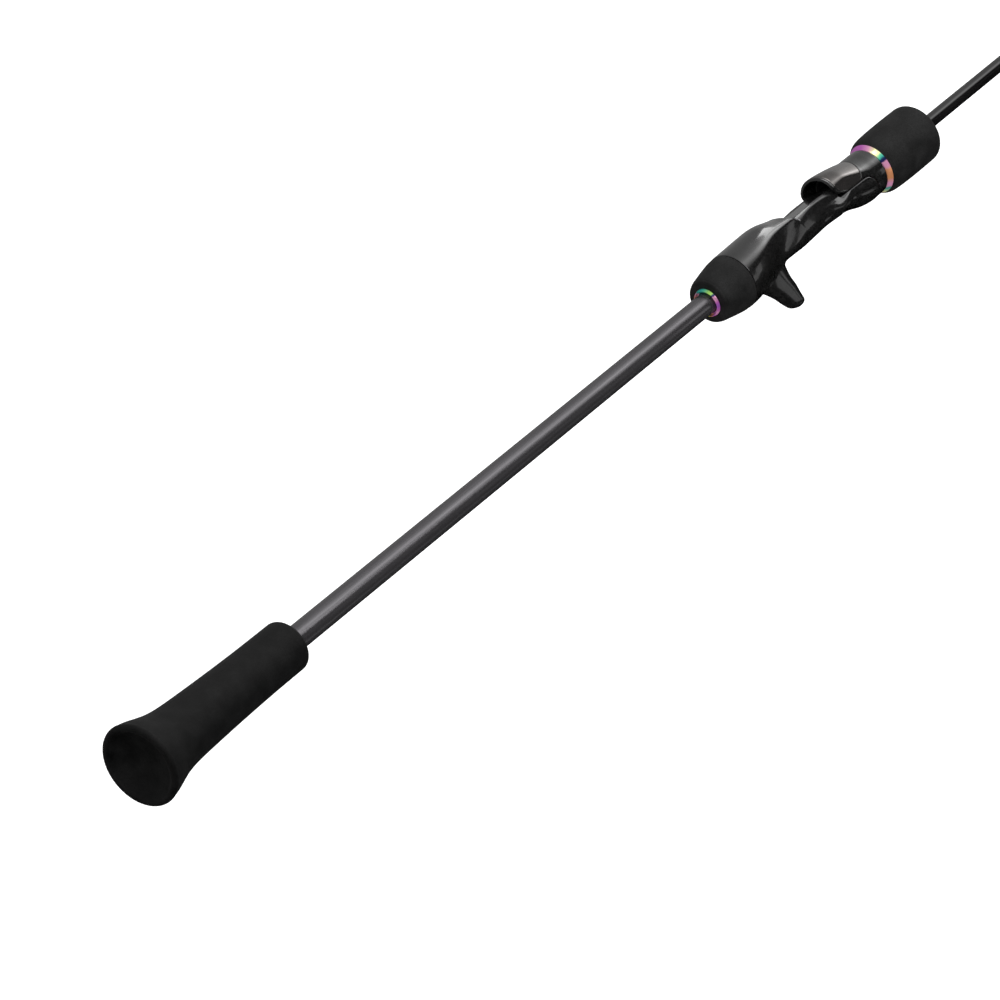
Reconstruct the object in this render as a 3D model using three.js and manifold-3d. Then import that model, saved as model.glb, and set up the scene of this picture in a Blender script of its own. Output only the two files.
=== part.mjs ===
// A one-piece baitcasting jigging rod with an empty trigger reel seat, in millimetres.
// +X runs from the butt to the tip, +Z is up on the reel's side, and the trigger hangs below.
// The origin is the middle of the flat deck that a reel's foot rests on.
import * as THREE from "three";
import { mergeVertices } from "three/addons/utils/BufferGeometryUtils.js";
import Module from "manifold-3d";

const wasm = await Module();
wasm.setup();

// ---- Driving dimensions ----
const DECK_HEIGHT = 7; // from the rod's axis up to the reel deck
const ROD_LENGTH = 1905;
const BUTT_X = -538;
const TIP_X = BUTT_X + ROD_LENGTH;
const BOND = 0.06; // clearance of a glued joint
const GAP = 0.3; // clearance between parts that slide or turn

const BUTT_GRIP = { front: -419.5, frontRadius: 13.5, boreDepth: 18 };
const TUBE = { rear: -519, front: -30, refX: -412, refRadius: 6.28, taper: 0.0026, wall: 1.1 };
const BLANK = { rear: -57, refX: 86, refRadius: 3.45, wall: 0.75, hollowTo: 900, tipRadius: 0.85 };
const REAR_CONE = { rear: -81.4, front: -61.9, rearRadius: 11.4, frontRadius: 14.6 };
const SEAT = { rear: -61.6, lip: -19.5, tubeBoreEnd: -27, tubeBore: 5.7, bore: 4.3, ceiling: 11 };
const POCKET = { halfWidth: 6.9, depth: 16 };
const DECK = { rear: -20, front: 13, halfWidth: 6.2 };
const BARREL = { start: 37, end: 82, radius: 8.5 };
const THREAD = { start: 51, end: 82, pitch: 3, root: 8.5, crest: 9.2, clearance: 0.28, steps: 16 };
const HOOD = { rear: 14, seam: 37, cavityEnd: 38.5, front: 49.4, radius: 12, frontRadius: 11.7 };
const HOOD_CROWN = 15.4; // top of the scoop's mouth above the rod's axis
const EAR = { top: 1.3, shoulder: 33, toe: 43 }; // the lower shell that the hood slides on
const NECK = { rear: 45.1, radius: 10.6, bore: 10.9 };
const CLIP = { rear: 46.1, width: 0.9, inner: 10.3, outer: 11.2 };
const NUT = { shoulder: 52.7, front: 86.6, radius: 11.5, threadStart: 57, threadEnd: 77, free: 9.65 };
const FOREGRIP = { rear: 52.4, front: 90.3, rearRadius: 13.4, radius: 15.4, rounding: 3.7 };
const TRIM = { thickness: 1.45, rearThickness: 1.75, seatGap: 0.15, foreGap: 0.1 };
const BUTT_TRIM = { faceRadius: 8.2, freeRadius: 7.4 };
const REAR_TRIM = { faceRadius: 7.45, freeRadius: 6.45 };
const FORE_TRIM = { faceRadius: 13.1, freeRadius: 11.9 };

// Guides from the handle to the tip: distance from the tip, ring size and number of feet.
const GUIDES = [
  { fromTip: 965, size: 12, feet: 2 },
  { fromTip: 835, size: 10, feet: 2 },
  { fromTip: 710, size: 8, feet: 2 },
  { fromTip: 590, size: 7, feet: 1 },
  { fromTip: 475, size: 6, feet: 1 },
  { fromTip: 370, size: 6, feet: 1 },
  { fromTip: 270, size: 5.5, feet: 1 },
  { fromTip: 175, size: 5.5, feet: 1 },
  { fromTip: 85, size: 5.5, feet: 1 },
];
const GUIDE_TILT = 12; // degrees, rings lean towards the tip
const BAND = { wall: 0.65, width: 1.1 };
const TIP_TOP = { size: 5.5, tubeLength: 9, tubeWall: 0.45, height: 4.6 };

// ---- Materials ----
const standard = (color, roughness, metalness) =>
  new THREE.MeshStandardMaterial({ color, roughness, metalness });
const FOAM = standard(0x17181a, 0.95, 0);
const CARBON = standard(0x4a484c, 0.4, 0);
const GLOSS_BLANK = standard(0x1a191c, 0.15, 0);
const SEAT_BLACK = standard(0x1c1b1e, 0.2, 0);
const GUNMETAL = standard(0x6e6968, 0.3, 0.5);
const IRIDESCENT = standard(0xb060c8, 0.25, 1);
const NYLON = standard(0x202124, 0.55, 0);
const CUSHION = standard(0x101012, 0.8, 0);
const SPRING_STEEL = standard(0x8a8c90, 0.3, 1);
const FRAME_METAL = standard(0x55565a, 0.3, 1);
const CERAMIC = standard(0x1c1d20, 0.12, 0);
const WRAP = standard(0x121214, 0.15, 0);

// ---- Solids and geometry ----
// A closed solid from any closed triangle mesh, turned to face outwards.
function toSolid(geometry) {
  const bare = geometry.clone();
  bare.deleteAttribute("normal");
  bare.deleteAttribute("uv");
  const merged = mergeVertices(bare, 1e-4);
  const corners = Array.from({ length: merged.index.count / 3 }, (_, t) =>
    [0, 1, 2].map((i) => merged.index.array[3 * t + i]),
  ).filter(([a, b, c]) => a !== b && b !== c && c !== a);
  const point = (i) => new THREE.Vector3().fromBufferAttribute(merged.attributes.position, i);
  const volume = corners.reduce((sum, [a, b, c]) => sum + point(a).dot(point(b).cross(point(c))), 0);
  const facing = volume < 0 ? corners.map(([a, b, c]) => [a, c, b]) : corners;
  return new wasm.Manifold(
    new wasm.Mesh({
      numProp: 3,
      vertProperties: new Float32Array(merged.attributes.position.array),
      triVerts: new Uint32Array(facing.flat()),
    }),
  );
}

function toGeometry(solid) {
  const mesh = solid.getMesh();
  const geometry = new THREE.BufferGeometry();
  const positions = new THREE.BufferAttribute(new Float32Array(mesh.vertProperties), 3);
  geometry.setAttribute("position", positions);
  geometry.setIndex(new THREE.BufferAttribute(new Uint32Array(mesh.triVerts), 1));
  geometry.computeVertexNormals();
  return geometry;
}

function meshGeometry(vertices, triangles) {
  const geometry = new THREE.BufferGeometry();
  geometry.setAttribute("position", new THREE.Float32BufferAttribute(vertices, 3));
  geometry.setIndex(triangles);
  return geometry;
}

// A solid of revolution about the X axis. The profile is [x, radius] points; it starts and ends
// on the axis, or closes on itself.
function revolve(profile, segments = 24) {
  const points = profile.map(([x, radius]) => new THREE.Vector2(radius, x));
  return toSolid(new THREE.LatheGeometry(points, segments).rotateZ(-Math.PI / 2));
}

function rod(x0, x1, radius, segments = 24) {
  return revolve([[x0, 0], [x0, radius], [x1, radius], [x1, 0]], segments);
}

function sleeve(x0, x1, inner, outer, segments = 24) {
  const square = [[x0, inner], [x0, outer], [x1, outer], [x1, inner], [x0, inner]];
  return revolve(square, segments);
}

function shapeOf(points) {
  return new THREE.Shape(points.map(([u, v]) => new THREE.Vector2(u, v)));
}

// A side outline of [x, z] points, extruded across Y.
function sidePrism(points, width) {
  const geometry = new THREE.ExtrudeGeometry(shapeOf(points), { depth: width, bevelEnabled: false });
  return toSolid(geometry.rotateX(Math.PI / 2).translate(0, width / 2, 0));
}

// An end outline of [y, z] points, extruded along X.
function endPrism(points, x0, x1) {
  const geometry = new THREE.ExtrudeGeometry(shapeOf(points), { depth: x1 - x0, bevelEnabled: false });
  const [y, z, x] = [[0, 1, 0], [0, 0, 1], [1, 0, 0]].map((axis) => new THREE.Vector3(...axis));
  return toSolid(geometry.applyMatrix4(new THREE.Matrix4().makeBasis(y, z, x)).translate(x0, 0, 0));
}

// A closed skin over a row of sections, each { x, ring } with the same number of [y, z] points.
function loft(sections) {
  const count = sections[0].ring.length;
  const vertices = [];
  const triangles = [];
  for (const { x, ring } of sections) for (const [y, z] of ring) vertices.push(x, y, z);
  const at = (s, i) => s * count + (i % count);
  for (let s = 0; s < sections.length - 1; s++) {
    for (let i = 0; i < count; i++) {
      triangles.push(at(s, i), at(s + 1, i + 1), at(s, i + 1));
      triangles.push(at(s, i), at(s + 1, i), at(s + 1, i + 1));
    }
  }
  for (const [s, flip] of [[0, false], [sections.length - 1, true]]) {
    const { x, ring } = sections[s];
    const middle = ring.reduce(([a, b], [y, z]) => [a + y / count, b + z / count], [0, 0]);
    const centre = vertices.length / 3;
    vertices.push(x, ...middle);
    for (let i = 0; i < count; i++) {
      const [a, b] = flip ? [at(s, i + 1), at(s, i)] : [at(s, i), at(s, i + 1)];
      triangles.push(centre, a, b);
    }
  }
  return toSolid(meshGeometry(vertices, triangles));
}

// A ring of [y, z] points: half ovals above and below its widest level.
function oval({ halfWidth, top, bottom, level = 0, power = 2, points = 24 }) {
  const swell = (v) => Math.sign(v) * Math.abs(v) ** (2 / power);
  return Array.from({ length: points }, (_, i) => {
    const angle = (i / points) * 2 * Math.PI;
    const height = angle < Math.PI ? top - level : level - bottom;
    return [halfWidth * swell(Math.cos(angle)), level + height * swell(Math.sin(angle))];
  });
}

function ovalLoft(sections) {
  return loft(sections.map(({ x, ...size }) => ({ x, ring: oval(size) })));
}

// A straight bar of rectangular section between two points.
function bar(from, to, width, thickness) {
  const [start, end] = [new THREE.Vector3(...from), new THREE.Vector3(...to)];
  const geometry = new THREE.BoxGeometry(width, thickness, start.distanceTo(end));
  const along = end.clone().sub(start).normalize();
  const side = new THREE.Vector3(0, 1, 0).cross(along).normalize();
  const turn = new THREE.Matrix4().makeBasis(side, along.clone().cross(side), along);
  turn.setPosition(start.add(end).multiplyScalar(0.5));
  return toSolid(geometry.applyMatrix4(turn));
}

// Profile points of a round corner about a centre, from one direction to another in degrees.
function corner(x, radius, rounding, from, to, steps = 4) {
  return Array.from({ length: steps + 1 }, (_, i) => {
    const angle = THREE.MathUtils.degToRad(from + ((to - from) * i) / steps);
    return [x + rounding * Math.cos(angle), radius + rounding * Math.sin(angle)];
  });
}

function curvePoints(points, steps) {
  const curve = new THREE.SplineCurve(points.map(([x, radius]) => new THREE.Vector2(x, radius)));
  return curve.getPoints(steps).map(({ x, y }) => [x, y]);
}

// A rod with a right-hand thread. Each row of points follows the helix: a crest, then a root.
function threadedRod({ start, end, root, crest, crestFrom, crestTo, rootFrom, rootTo }) {
  const { pitch, steps } = THREAD;
  const rows = [[crestFrom, crest], [crestTo, crest], [rootFrom, root], [rootTo, root]];
  const count = rows.length;
  const turns = Math.ceil((end - start) / pitch) + 4;
  const origin = THREAD.start - pitch * (Math.ceil((THREAD.start - start) / pitch) + 2);
  const vertices = [];
  const triangles = [];
  for (let k = 0; k <= count * turns; k++) {
    const [along, radius] = rows[k % count];
    for (let j = 0; j < steps; j++) {
      const angle = (j / steps) * 2 * Math.PI;
      const x = origin + pitch * (Math.floor(k / count) + along + j / steps);
      vertices.push(x, -radius * Math.sin(angle), radius * Math.cos(angle));
    }
  }
  // After one turn a row runs on into the row one pitch along, so the last column joins it there.
  const at = (k, j) => (j < steps ? k * steps + j : (k + count) * steps);
  const last = count * (turns - 1);
  for (let k = 0; k < last; k++) {
    for (let j = 0; j < steps; j++) {
      triangles.push(at(k, j), at(k + 1, j + 1), at(k, j + 1));
      triangles.push(at(k, j), at(k + 1, j), at(k + 1, j + 1));
    }
  }
  for (const [k, flip] of [[0, false], [last, true]]) {
    const centre = vertices.length / 3;
    vertices.push(origin + pitch * (k / count + 0.5), 0, 0);
    const rim = Array.from({ length: steps + 1 }, (_, j) => at(k, j));
    for (let r = count - 1; r >= 0; r--) rim.push(at(k + r, 0));
    for (let i = 0; i < rim.length - 1; i++) {
      const [a, b] = flip ? [rim[i + 1], rim[i]] : [rim[i], rim[i + 1]];
      triangles.push(centre, a, b);
    }
  }
  return toSolid(meshGeometry(vertices, triangles)).intersect(rod(start, end, crest + 1, 24));
}

// ---- The assembly ----
const assembly = new THREE.Group();
assembly.position.z = -DECK_HEIGHT; // everything below is written about the rod's axis

function add(name, solid, material, parent = assembly) {
  const mesh = new THREE.Mesh(toGeometry(solid), material);
  mesh.name = name;
  parent.add(mesh);
}

// ---- Handle tube and blank ----
const BLANK_FRONT = TIP_X - 3;
const tubeRadius = (x) => TUBE.refRadius - TUBE.taper * (x - TUBE.refX);
const blankTaper = (BLANK.refRadius - BLANK.tipRadius) / (BLANK_FRONT - BLANK.refX);
const blankRadius = (x) => BLANK.refRadius - blankTaper * (x - BLANK.refX);

function handleTube() {
  const { rear, front, wall } = TUBE;
  const [a, b] = [tubeRadius(rear), tubeRadius(front)];
  return revolve([[rear, a - wall], [rear, a], [front, b], [front, b - wall], [rear, a - wall]], 24);
}

function blank() {
  const { rear, wall, hollowTo, tipRadius } = BLANK;
  const outer = [[rear, blankRadius(rear)], [BLANK_FRONT, tipRadius], [BLANK_FRONT, 0]];
  const bore = (x) => [x, blankRadius(x) - wall];
  const hollow = [[hollowTo, 0], bore(hollowTo), bore(rear)];
  return revolve([...hollow, ...outer], 16);
}

function ferrule() {
  const outer = tubeRadius(TUBE.front) - TUBE.wall - BOND - 0.04;
  return sleeve(BLANK.rear + 2, TUBE.front - 1, blankRadius(BLANK.rear) + BOND + 0.08, outer, 16);
}

// A bush that centres the blank in the seat's bore.
function arbor(x0, x1) {
  return sleeve(x0, x1, blankRadius(x0) + BOND + 0.08, SEAT.bore - BOND - 0.06, 16);
}

// ---- Grips and trim rings ----
function buttGrip() {
  const { front, frontRadius, boreDepth } = BUTT_GRIP;
  const dish = curvePoints([[7, 4], [6.4, 10], [4, 15.5], [-0.4, 18.8]], 5);
  const rim = corner(1.7, 20.2, 2.1, 190, 60, 4);
  const flare = curvePoints(
    [[8, 20.8], [14.5, 19], [21, 17.2], [30, 16], [45, 15.2], [70, 14.3], [95, 13.7]],
    9,
  );
  const place = ([x, radius]) => [BUTT_X + x, radius];
  const bore = tubeRadius(BUTT_X) + BOND + 0.1;
  return revolve([
    [BUTT_X + 7, 0],
    ...[...dish, ...rim, ...flare].map(place),
    ...corner(front - 1.5, frontRadius - 1.5, 1.5, 85, 0, 3),
    [front, bore],
    [BUTT_X + boreDepth, bore],
    [BUTT_X + boreDepth, 0],
  ]);
}

function rearCone() {
  const { rear, front, rearRadius, frontRadius } = REAR_CONE;
  const bore = tubeRadius(rear) + BOND + 0.1;
  return revolve([
    [rear, bore],
    ...corner(rear + 1, rearRadius - 1, 1, 180, 110, 2),
    ...curvePoints([[rear + 4, 12.3], [rear + 9, 13.2], [rear + 15, 14.2], [rear + 18, frontRadius]], 5),
    [front, frontRadius],
    [front, bore],
    [rear, bore],
  ]);
}

// A bevelled trim ring, wide where it meets a grip's face and narrow at its free edge.
function trimRing(face, free, { faceRadius, freeRadius }, bore) {
  return revolve(
    [[face, bore], [face, faceRadius], [free, freeRadius], [free, bore], [face, bore]],
    28,
  );
}

function foregrip() {
  const { rear, front, rearRadius, radius, rounding } = FOREGRIP;
  const bore = NUT.radius + BOND + 0.06;
  const hole = blankRadius(NUT.front) + 0.5;
  const wall = NUT.front + GAP;
  return revolve([
    [rear, bore],
    [rear, rearRadius - 0.5],
    [rear + 0.3, rearRadius],
    ...curvePoints([[rear + 1.6, 14.7], [rear + 4, 15.1], [rear + 12, radius]], 4),
    ...corner(front - rounding, radius - rounding, rounding, 86, 0, 5),
    [front, hole],
    [wall, hole],
    [wall, bore],
    [rear, bore],
  ]);
}

// ---- The reel seat's body ----
function swell() {
  const form = ovalLoft([
    { x: SEAT.rear, halfWidth: 14.7, top: 14.7, bottom: -14.7, level: 0.8 },
    { x: -50, halfWidth: 14, top: 14.9, bottom: -13.8, level: 2.7 },
    { x: -42, halfWidth: 12.7, top: 15, bottom: -11.4, level: 4.4 },
    { x: -35, halfWidth: 11.3, top: 14.9, bottom: -9.2, level: 6 },
    { x: -30, halfWidth: 10.4, top: 14.1, bottom: -8.3, level: 6.5 },
    { x: -26, halfWidth: 9.8, top: 13, bottom: -8, level: 6.8 },
    { x: -22, halfWidth: 9.3, top: 12.1, bottom: -8, level: 7 },
    { x: -17, halfWidth: 8.8, top: 11.4, bottom: -8, level: 7 },
    { x: -12, halfWidth: 8.2, top: 11, bottom: -8, level: 7 },
  ]);
  const lip = [[-11.5, -17], [-11.5, 2], [-13, 6.5], [SEAT.lip + 2, 9.5], [SEAT.lip, 13], [SEAT.lip, 18]];
  return form.intersect(sidePrism([[SEAT.rear - 1, -17], ...lip, [SEAT.rear - 1, 18]], 40));
}

// The waist between the hoods, with a rail on each side of the flat deck.
function waist() {
  const size = { halfWidth: 8.3, bottom: -7.8, power: 2.6 };
  return ovalLoft([
    { x: -34, top: 9, ...size },
    { x: 8, top: 9, ...size },
    { x: 16, top: 8.6, ...size },
  ]);
}

// The pocket's floor and the deck under the sliding hood are a little lower than the deck.
function floorBlock() {
  const [edge, floor, bevel] = [6.9, DECK_HEIGHT - GAP, 1];
  const top = [[edge, floor - bevel], [edge - bevel, floor], [bevel - edge, floor], [-edge, floor - bevel]];
  return endPrism([[-edge, -4], [edge, -4], ...top], DECK.front - 1, BARREL.start + 1);
}

// The side outline of the lower shell that the hood slides on, with a rounded front end.
function earOutline(grow) {
  const [top, reach, drop] = [EAR.top + grow, EAR.toe - EAR.shoulder, EAR.top + HOOD.radius + 1];
  const nose = Array.from({ length: 7 }, (_, i) => {
    const angle = (i / 6) * (Math.PI / 2);
    return [EAR.shoulder + grow + reach * Math.sin(angle), top - drop * (1 - Math.cos(angle))];
  });
  return [[8, top], ...nose, [EAR.toe + grow, -20], [8, -20]];
}

function lowerShell() {
  const form = ovalLoft([
    { x: 10, halfWidth: 8.2, top: 4, bottom: -7.6 },
    { x: 16, halfWidth: 9.4, top: 4, bottom: -7.7 },
    { x: 21, halfWidth: 11.2, top: 4, bottom: -8.1 },
    { x: 27, halfWidth: HOOD.radius, top: 4, bottom: -9.3 },
    { x: 33, halfWidth: HOOD.radius, top: 4, bottom: -11 },
    { x: 39, halfWidth: HOOD.radius, top: 4, bottom: -HOOD.radius },
    { x: 48, halfWidth: HOOD.radius, top: 4, bottom: -HOOD.radius },
  ]);
  return form.intersect(sidePrism(earOutline(0), 40));
}

function trigger() {
  const sections = [
    { z: -5, x: -41, reach: 14.5, halfWidth: 7 },
    { z: -11, x: -38.6, reach: 10.6, halfWidth: 5.2 },
    { z: -16, x: -37.2, reach: 8.6, halfWidth: 4.3 },
    { z: -22, x: -35.3, reach: 7, halfWidth: 3.8 },
    { z: -26.5, x: -34, reach: 5.4, halfWidth: 3.4 },
    { z: -29, x: -33, reach: 3.8, halfWidth: 2.6 },
    { z: -30.2, x: -32.4, reach: 1.8, halfWidth: 1.2 },
  ];
  const rings = sections.map(({ z, x, reach, halfWidth }) => ({
    x: -z,
    ring: oval({ halfWidth, level: x, top: x + reach, bottom: x - reach, points: 16 }),
  }));
  // The loft's own axis points down, and its up direction runs along the rod.
  return loft(rings).rotate([0, 90, 0]);
}

function seatBody() {
  const { rear, lip, tubeBoreEnd, tubeBore, bore, ceiling } = SEAT;
  const half = POCKET.halfWidth;
  const floor = DECK_HEIGHT - GAP;
  const [crown, shoulder] = [half - 3.5, ceiling - 2.6];
  const roof = [[half, shoulder], [crown, ceiling], [-crown, ceiling], [-half, shoulder]];
  const arch = [[-half, floor], [half, floor], ...roof];
  const deckCut = [[-DECK.halfWidth, DECK_HEIGHT], [DECK.halfWidth, DECK_HEIGHT], [7.4, 12], [-7.4, 12]];
  const footPath = [[-12, floor], [12, floor], [12, 12], [-12, 12]];
  const barrel = rod(BARREL.start, THREAD.start + 1, BARREL.radius, 24).add(
    threadedRod({ ...THREAD, crestFrom: 0, crestTo: 0.25, rootFrom: 0.5, rootTo: 0.75 }),
  );
  return waist()
    .subtract(endPrism(deckCut, lip - 1, 17))
    .subtract(endPrism(footPath, DECK.front, 17))
    .add(swell())
    .subtract(endPrism(arch, lip - POCKET.depth, lip + 0.5))
    .subtract(endPrism(deckCut, lip, 17))
    .add(floorBlock())
    .add(lowerShell())
    .add(trigger())
    .add(barrel)
    .subtract(rod(rear - 1, BARREL.end + 1, bore, 16))
    .subtract(rod(rear - 1, tubeBoreEnd, tubeBore, 24));
}

// ---- The sliding hood ----
// The hood's outer form, moved inwards by the inset: a scoop that closes down to a round collar.
function hoodForm(inset, from, to) {
  const at = (x) => {
    const t = THREE.MathUtils.clamp((x - HOOD.rear) / (HOOD.seam - HOOD.rear), -0.3, 1);
    const radius = x > HOOD.seam + 6 ? HOOD.frontRadius : HOOD.radius;
    return {
      x,
      halfWidth: radius - inset,
      level: 3.2 * (1 - t),
      top: HOOD_CROWN + (radius - HOOD_CROWN) * t - inset,
      bottom: -radius + inset,
      points: 32,
    };
  };
  const between = [HOOD.rear, 21, 29, HOOD.seam, HOOD.seam + 6].filter((x) => x > from && x < to);
  return ovalLoft([from, ...between, to].map(at));
}

// The side outline of the scoop, with a rounded lower corner at its mouth.
function scoopOutline(inset, front) {
  const foot = EAR.top + GAP + inset;
  const rear = HOOD.rear + inset;
  const mouth = [[rear + 0.6, 20], [rear, 8], [rear + 0.9, 5], [rear + 3, 2.8], [rear + 6.5, foot]];
  return [...mouth, [front, foot], [front, 20]];
}

function coverOutline(grow) {
  const foot = EAR.top + GAP + 0.9 - grow;
  const rear = HOOD.rear + 1.1 - grow;
  const seam = [[EAR.shoulder - 0.6 + grow, foot], [HOOD.seam - 1.8 + grow, 6], [HOOD.seam + grow, 20]];
  return [[rear + 0.6, 20], [rear, 8], [rear + 0.9, 5.4], [rear + 3, 3.4], [rear + 6, foot], ...seam];
}

function hoodCover() {
  return hoodForm(0, HOOD.rear - 4, HOOD.front)
    .subtract(hoodForm(0.8, HOOD.rear - 5, HOOD.front + 1))
    .intersect(sidePrism(coverOutline(0), 40));
}

function hoodFrame() {
  const form = hoodForm(0, HOOD.rear - 4, HOOD.front);
  const core = hoodForm(0.92, HOOD.rear - 5, HOOD.front + 1);
  const recess = sidePrism(coverOutline(0.12), 40).subtract(core);
  const scoop = form.intersect(sidePrism(scoopOutline(0, HOOD.front), 40));
  const collar = form.intersect(rod(EAR.shoulder - 1, HOOD.front + 1, 20, 8));
  return scoop
    .add(collar)
    .subtract(hoodForm(1.9, HOOD.rear - 6, HOOD.cavityEnd))
    .subtract(rod(HOOD.cavityEnd - 1, HOOD.front + 1, THREAD.crest + GAP, 24))
    .subtract(rod(NECK.rear - GAP, HOOD.front + 1, NECK.bore, 24))
    .subtract(rod(CLIP.rear - 0.15, CLIP.rear + CLIP.width + 0.15, CLIP.outer + 0.15, 24))
    .subtract(recess)
    .subtract(sidePrism(earOutline(GAP), 40));
}

function hoodCushion() {
  const skin = hoodForm(2.05, HOOD.rear - 5, 36).subtract(hoodForm(2.75, HOOD.rear - 6, 37));
  return skin.intersect(sidePrism([[22, 20], [22, 5], [35, 5], [35, 20]], 40));
}

// ---- The locking nut ----
function lockNut() {
  const { shoulder, front, radius, threadStart, threadEnd, free } = NUT;
  const { root, crest, clearance } = THREAD;
  const groove = NECK.radius - 0.5;
  const tap = threadedRod({
    start: threadStart - 1,
    end: threadEnd + 1,
    root: root + clearance,
    crest: crest + clearance,
    crestFrom: -0.08,
    crestTo: 0.33,
    rootFrom: 0.58,
    rootTo: 0.67,
  });
  const profile = [
    [NECK.rear, 0],
    [NECK.rear, NECK.radius],
    [CLIP.rear - 0.15, NECK.radius],
    [CLIP.rear - 0.15, groove],
    [CLIP.rear + CLIP.width + 0.15, groove],
    [CLIP.rear + CLIP.width + 0.15, NECK.radius],
    [shoulder, NECK.radius],
    [shoulder, radius],
    [front, radius],
    [front, 0],
  ];
  return revolve(profile, 24)
    .subtract(tap)
    .subtract(rod(NECK.rear - 1, threadStart, free, 24))
    .subtract(rod(threadEnd, front + 1, free, 24));
}

// A split spring ring that holds the hood and the nut together while the nut turns.
function hoodClip() {
  const { rear, width, inner, outer } = CLIP;
  const split = endPrism([[-1, -13], [1, -13], [1, 0], [-1, 0]], rear - 1, rear + width + 1);
  return sleeve(rear, rear + width, inner, outer, 24).subtract(split);
}

// ---- Guides ----
const tilted = (solid, height) => solid.rotate([0, GUIDE_TILT, 0]).translate([0, 0, height]);

function guideRing(size) {
  const outer = size / 2;
  const inner = outer - (0.3 + 0.06 * size);
  return revolve(
    [[-0.7, outer - 0.02], [0.7, outer - 0.02], [0.7, outer - 0.25], [0.25, inner], [-0.25, inner],
      [-0.7, outer - 0.25], [-0.7, outer - 0.02]],
    16,
  );
}

function guideBand(size) {
  const inner = size / 2 + BOND;
  return sleeve(-BAND.width / 2, BAND.width / 2, inner, inner + BAND.wall, 12);
}

// A foot is a tapering wedge that hugs the blank, from its heel in the given direction.
function guideFoot(heel, direction, length, radius, grow = 0) {
  const toe = heel + direction * (length + grow);
  const outline = [
    [heel - direction * grow, 0.2],
    [heel - direction * grow, radius + 0.95 + grow],
    [toe, radius + 0.4 + grow],
    [toe, 0.2],
  ];
  const width = 2 * Math.min(1.2, radius * 0.7 + 0.25) + 2 * grow;
  return sidePrism(outline, width);
}

// Thread and lacquer that bind a foot to the blank, thicker over the foot.
function footWrap(heel, direction, length, radius) {
  const [near, far] = [heel + direction * 1.4, heel + direction * (length + 4)];
  const [x0, x1] = [Math.min(near, far), Math.max(near, far)];
  const thin = { halfWidth: radius + 0.3, top: radius + 0.35, bottom: -radius - 0.3, points: 12 };
  const thick = { halfWidth: radius + 0.75, top: radius + 1.5, bottom: -radius - 0.5, points: 12 };
  const body = ovalLoft([
    { x: x0, ...(direction > 0 ? thick : thin) },
    { x: x0 + 1.5, ...thick },
    { x: x1 - 1.5, ...thick },
    { x: x1, ...(direction > 0 ? thin : thick) },
  ]);
  return body
    .subtract(rod(x0 - 1, x1 + 1, radius + BOND, 12))
    .subtract(guideFoot(heel, direction, length, radius, BOND));
}

function addGuide(index, { fromTip, size, feet }) {
  const x = TIP_X - fromTip;
  const group = new THREE.Group();
  group.position.x = x;
  assembly.add(group);
  const length = 6 + 0.75 * size;
  const radius = blankRadius(x - length - 10) + 0.04; // the blank's largest radius under the guide
  const height = radius + 1.2 + 1.2 * size;
  const heel = 0.3 * height;
  const bandRadius = size / 2 + BOND + BAND.wall / 2;
  const onBand = (degrees) => {
    const angle = THREE.MathUtils.degToRad(degrees);
    const lean = THREE.MathUtils.degToRad(GUIDE_TILT);
    const down = bandRadius * Math.cos(angle);
    return [-down * Math.sin(lean), bandRadius * Math.sin(angle), height - down * Math.cos(lean)];
  };
  let frame = tilted(guideBand(size), height).add(guideFoot(-heel, -1, length, radius));
  for (const side of [-1, 1]) {
    frame = frame.add(bar([-heel - 0.5, side * 0.5, radius + 0.5], onBand(side * 50), 1.1, 0.8));
  }
  if (feet === 2) {
    const strut = bar([heel + 0.5, 0, radius + 0.5], onBand(0), 0.8, 1.5);
    frame = frame.add(guideFoot(heel, 1, length, radius)).add(strut);
    add(`guide_${index}_wrap_front`, footWrap(heel, 1, length, radius), WRAP, group);
  }
  frame = frame
    .subtract(tilted(rod(-8, 8, size / 2 + BOND, 16), height))
    .subtract(rod(-60, 60, radius + BOND, 12));
  add(`guide_${index}_wrap_rear`, footWrap(-heel, -1, length, radius), WRAP, group);
  add(`guide_${index}_frame`, frame, FRAME_METAL, group);
  add(`guide_${index}_ring`, tilted(guideRing(size), height), CERAMIC, group);
}

function addTipTop() {
  const { size, tubeLength, tubeWall, height } = TIP_TOP;
  const rear = BLANK_FRONT - tubeLength;
  const bore = blankRadius(rear) + BOND + 0.05;
  const ringX = TIP_X - 1;
  const bandRadius = size / 2 + BOND + BAND.wall / 2;
  const place = (solid) => solid.translate([ringX, 0, height]);
  let frame = revolve(
    [[rear, bore], [rear, bore + tubeWall], [BLANK_FRONT + 0.9, bore + tubeWall], [BLANK_FRONT + 0.9, 0],
      [BLANK_FRONT + 0.2, 0], [BLANK_FRONT + 0.2, bore], [rear, bore]],
    12,
  ).add(place(guideBand(size)));
  for (const side of [-1, 1]) {
    const end = [ringX, side * bandRadius * 0.8, height - bandRadius * 0.6];
    frame = frame.add(bar([rear + 5, side * 0.9, bore], end, 0.8, 0.7));
  }
  frame = frame
    .add(bar([BLANK_FRONT, 0, 0.6], [ringX, 0, height - bandRadius], 0.8, 1.2))
    .subtract(place(rod(-8, 8, size / 2 + BOND, 16)))
    .subtract(rod(rear - 1, BLANK_FRONT + 0.2, bore, 12));
  add("tip_top_frame", frame, FRAME_METAL);
  add("tip_top_ring", place(guideRing(size)), CERAMIC);
  const wrapBore = blankRadius(rear - 6) + BOND;
  add("tip_top_wrap", sleeve(rear - 6, rear - 0.1, wrapBore, wrapBore + 0.5, 12), WRAP);
}

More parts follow.
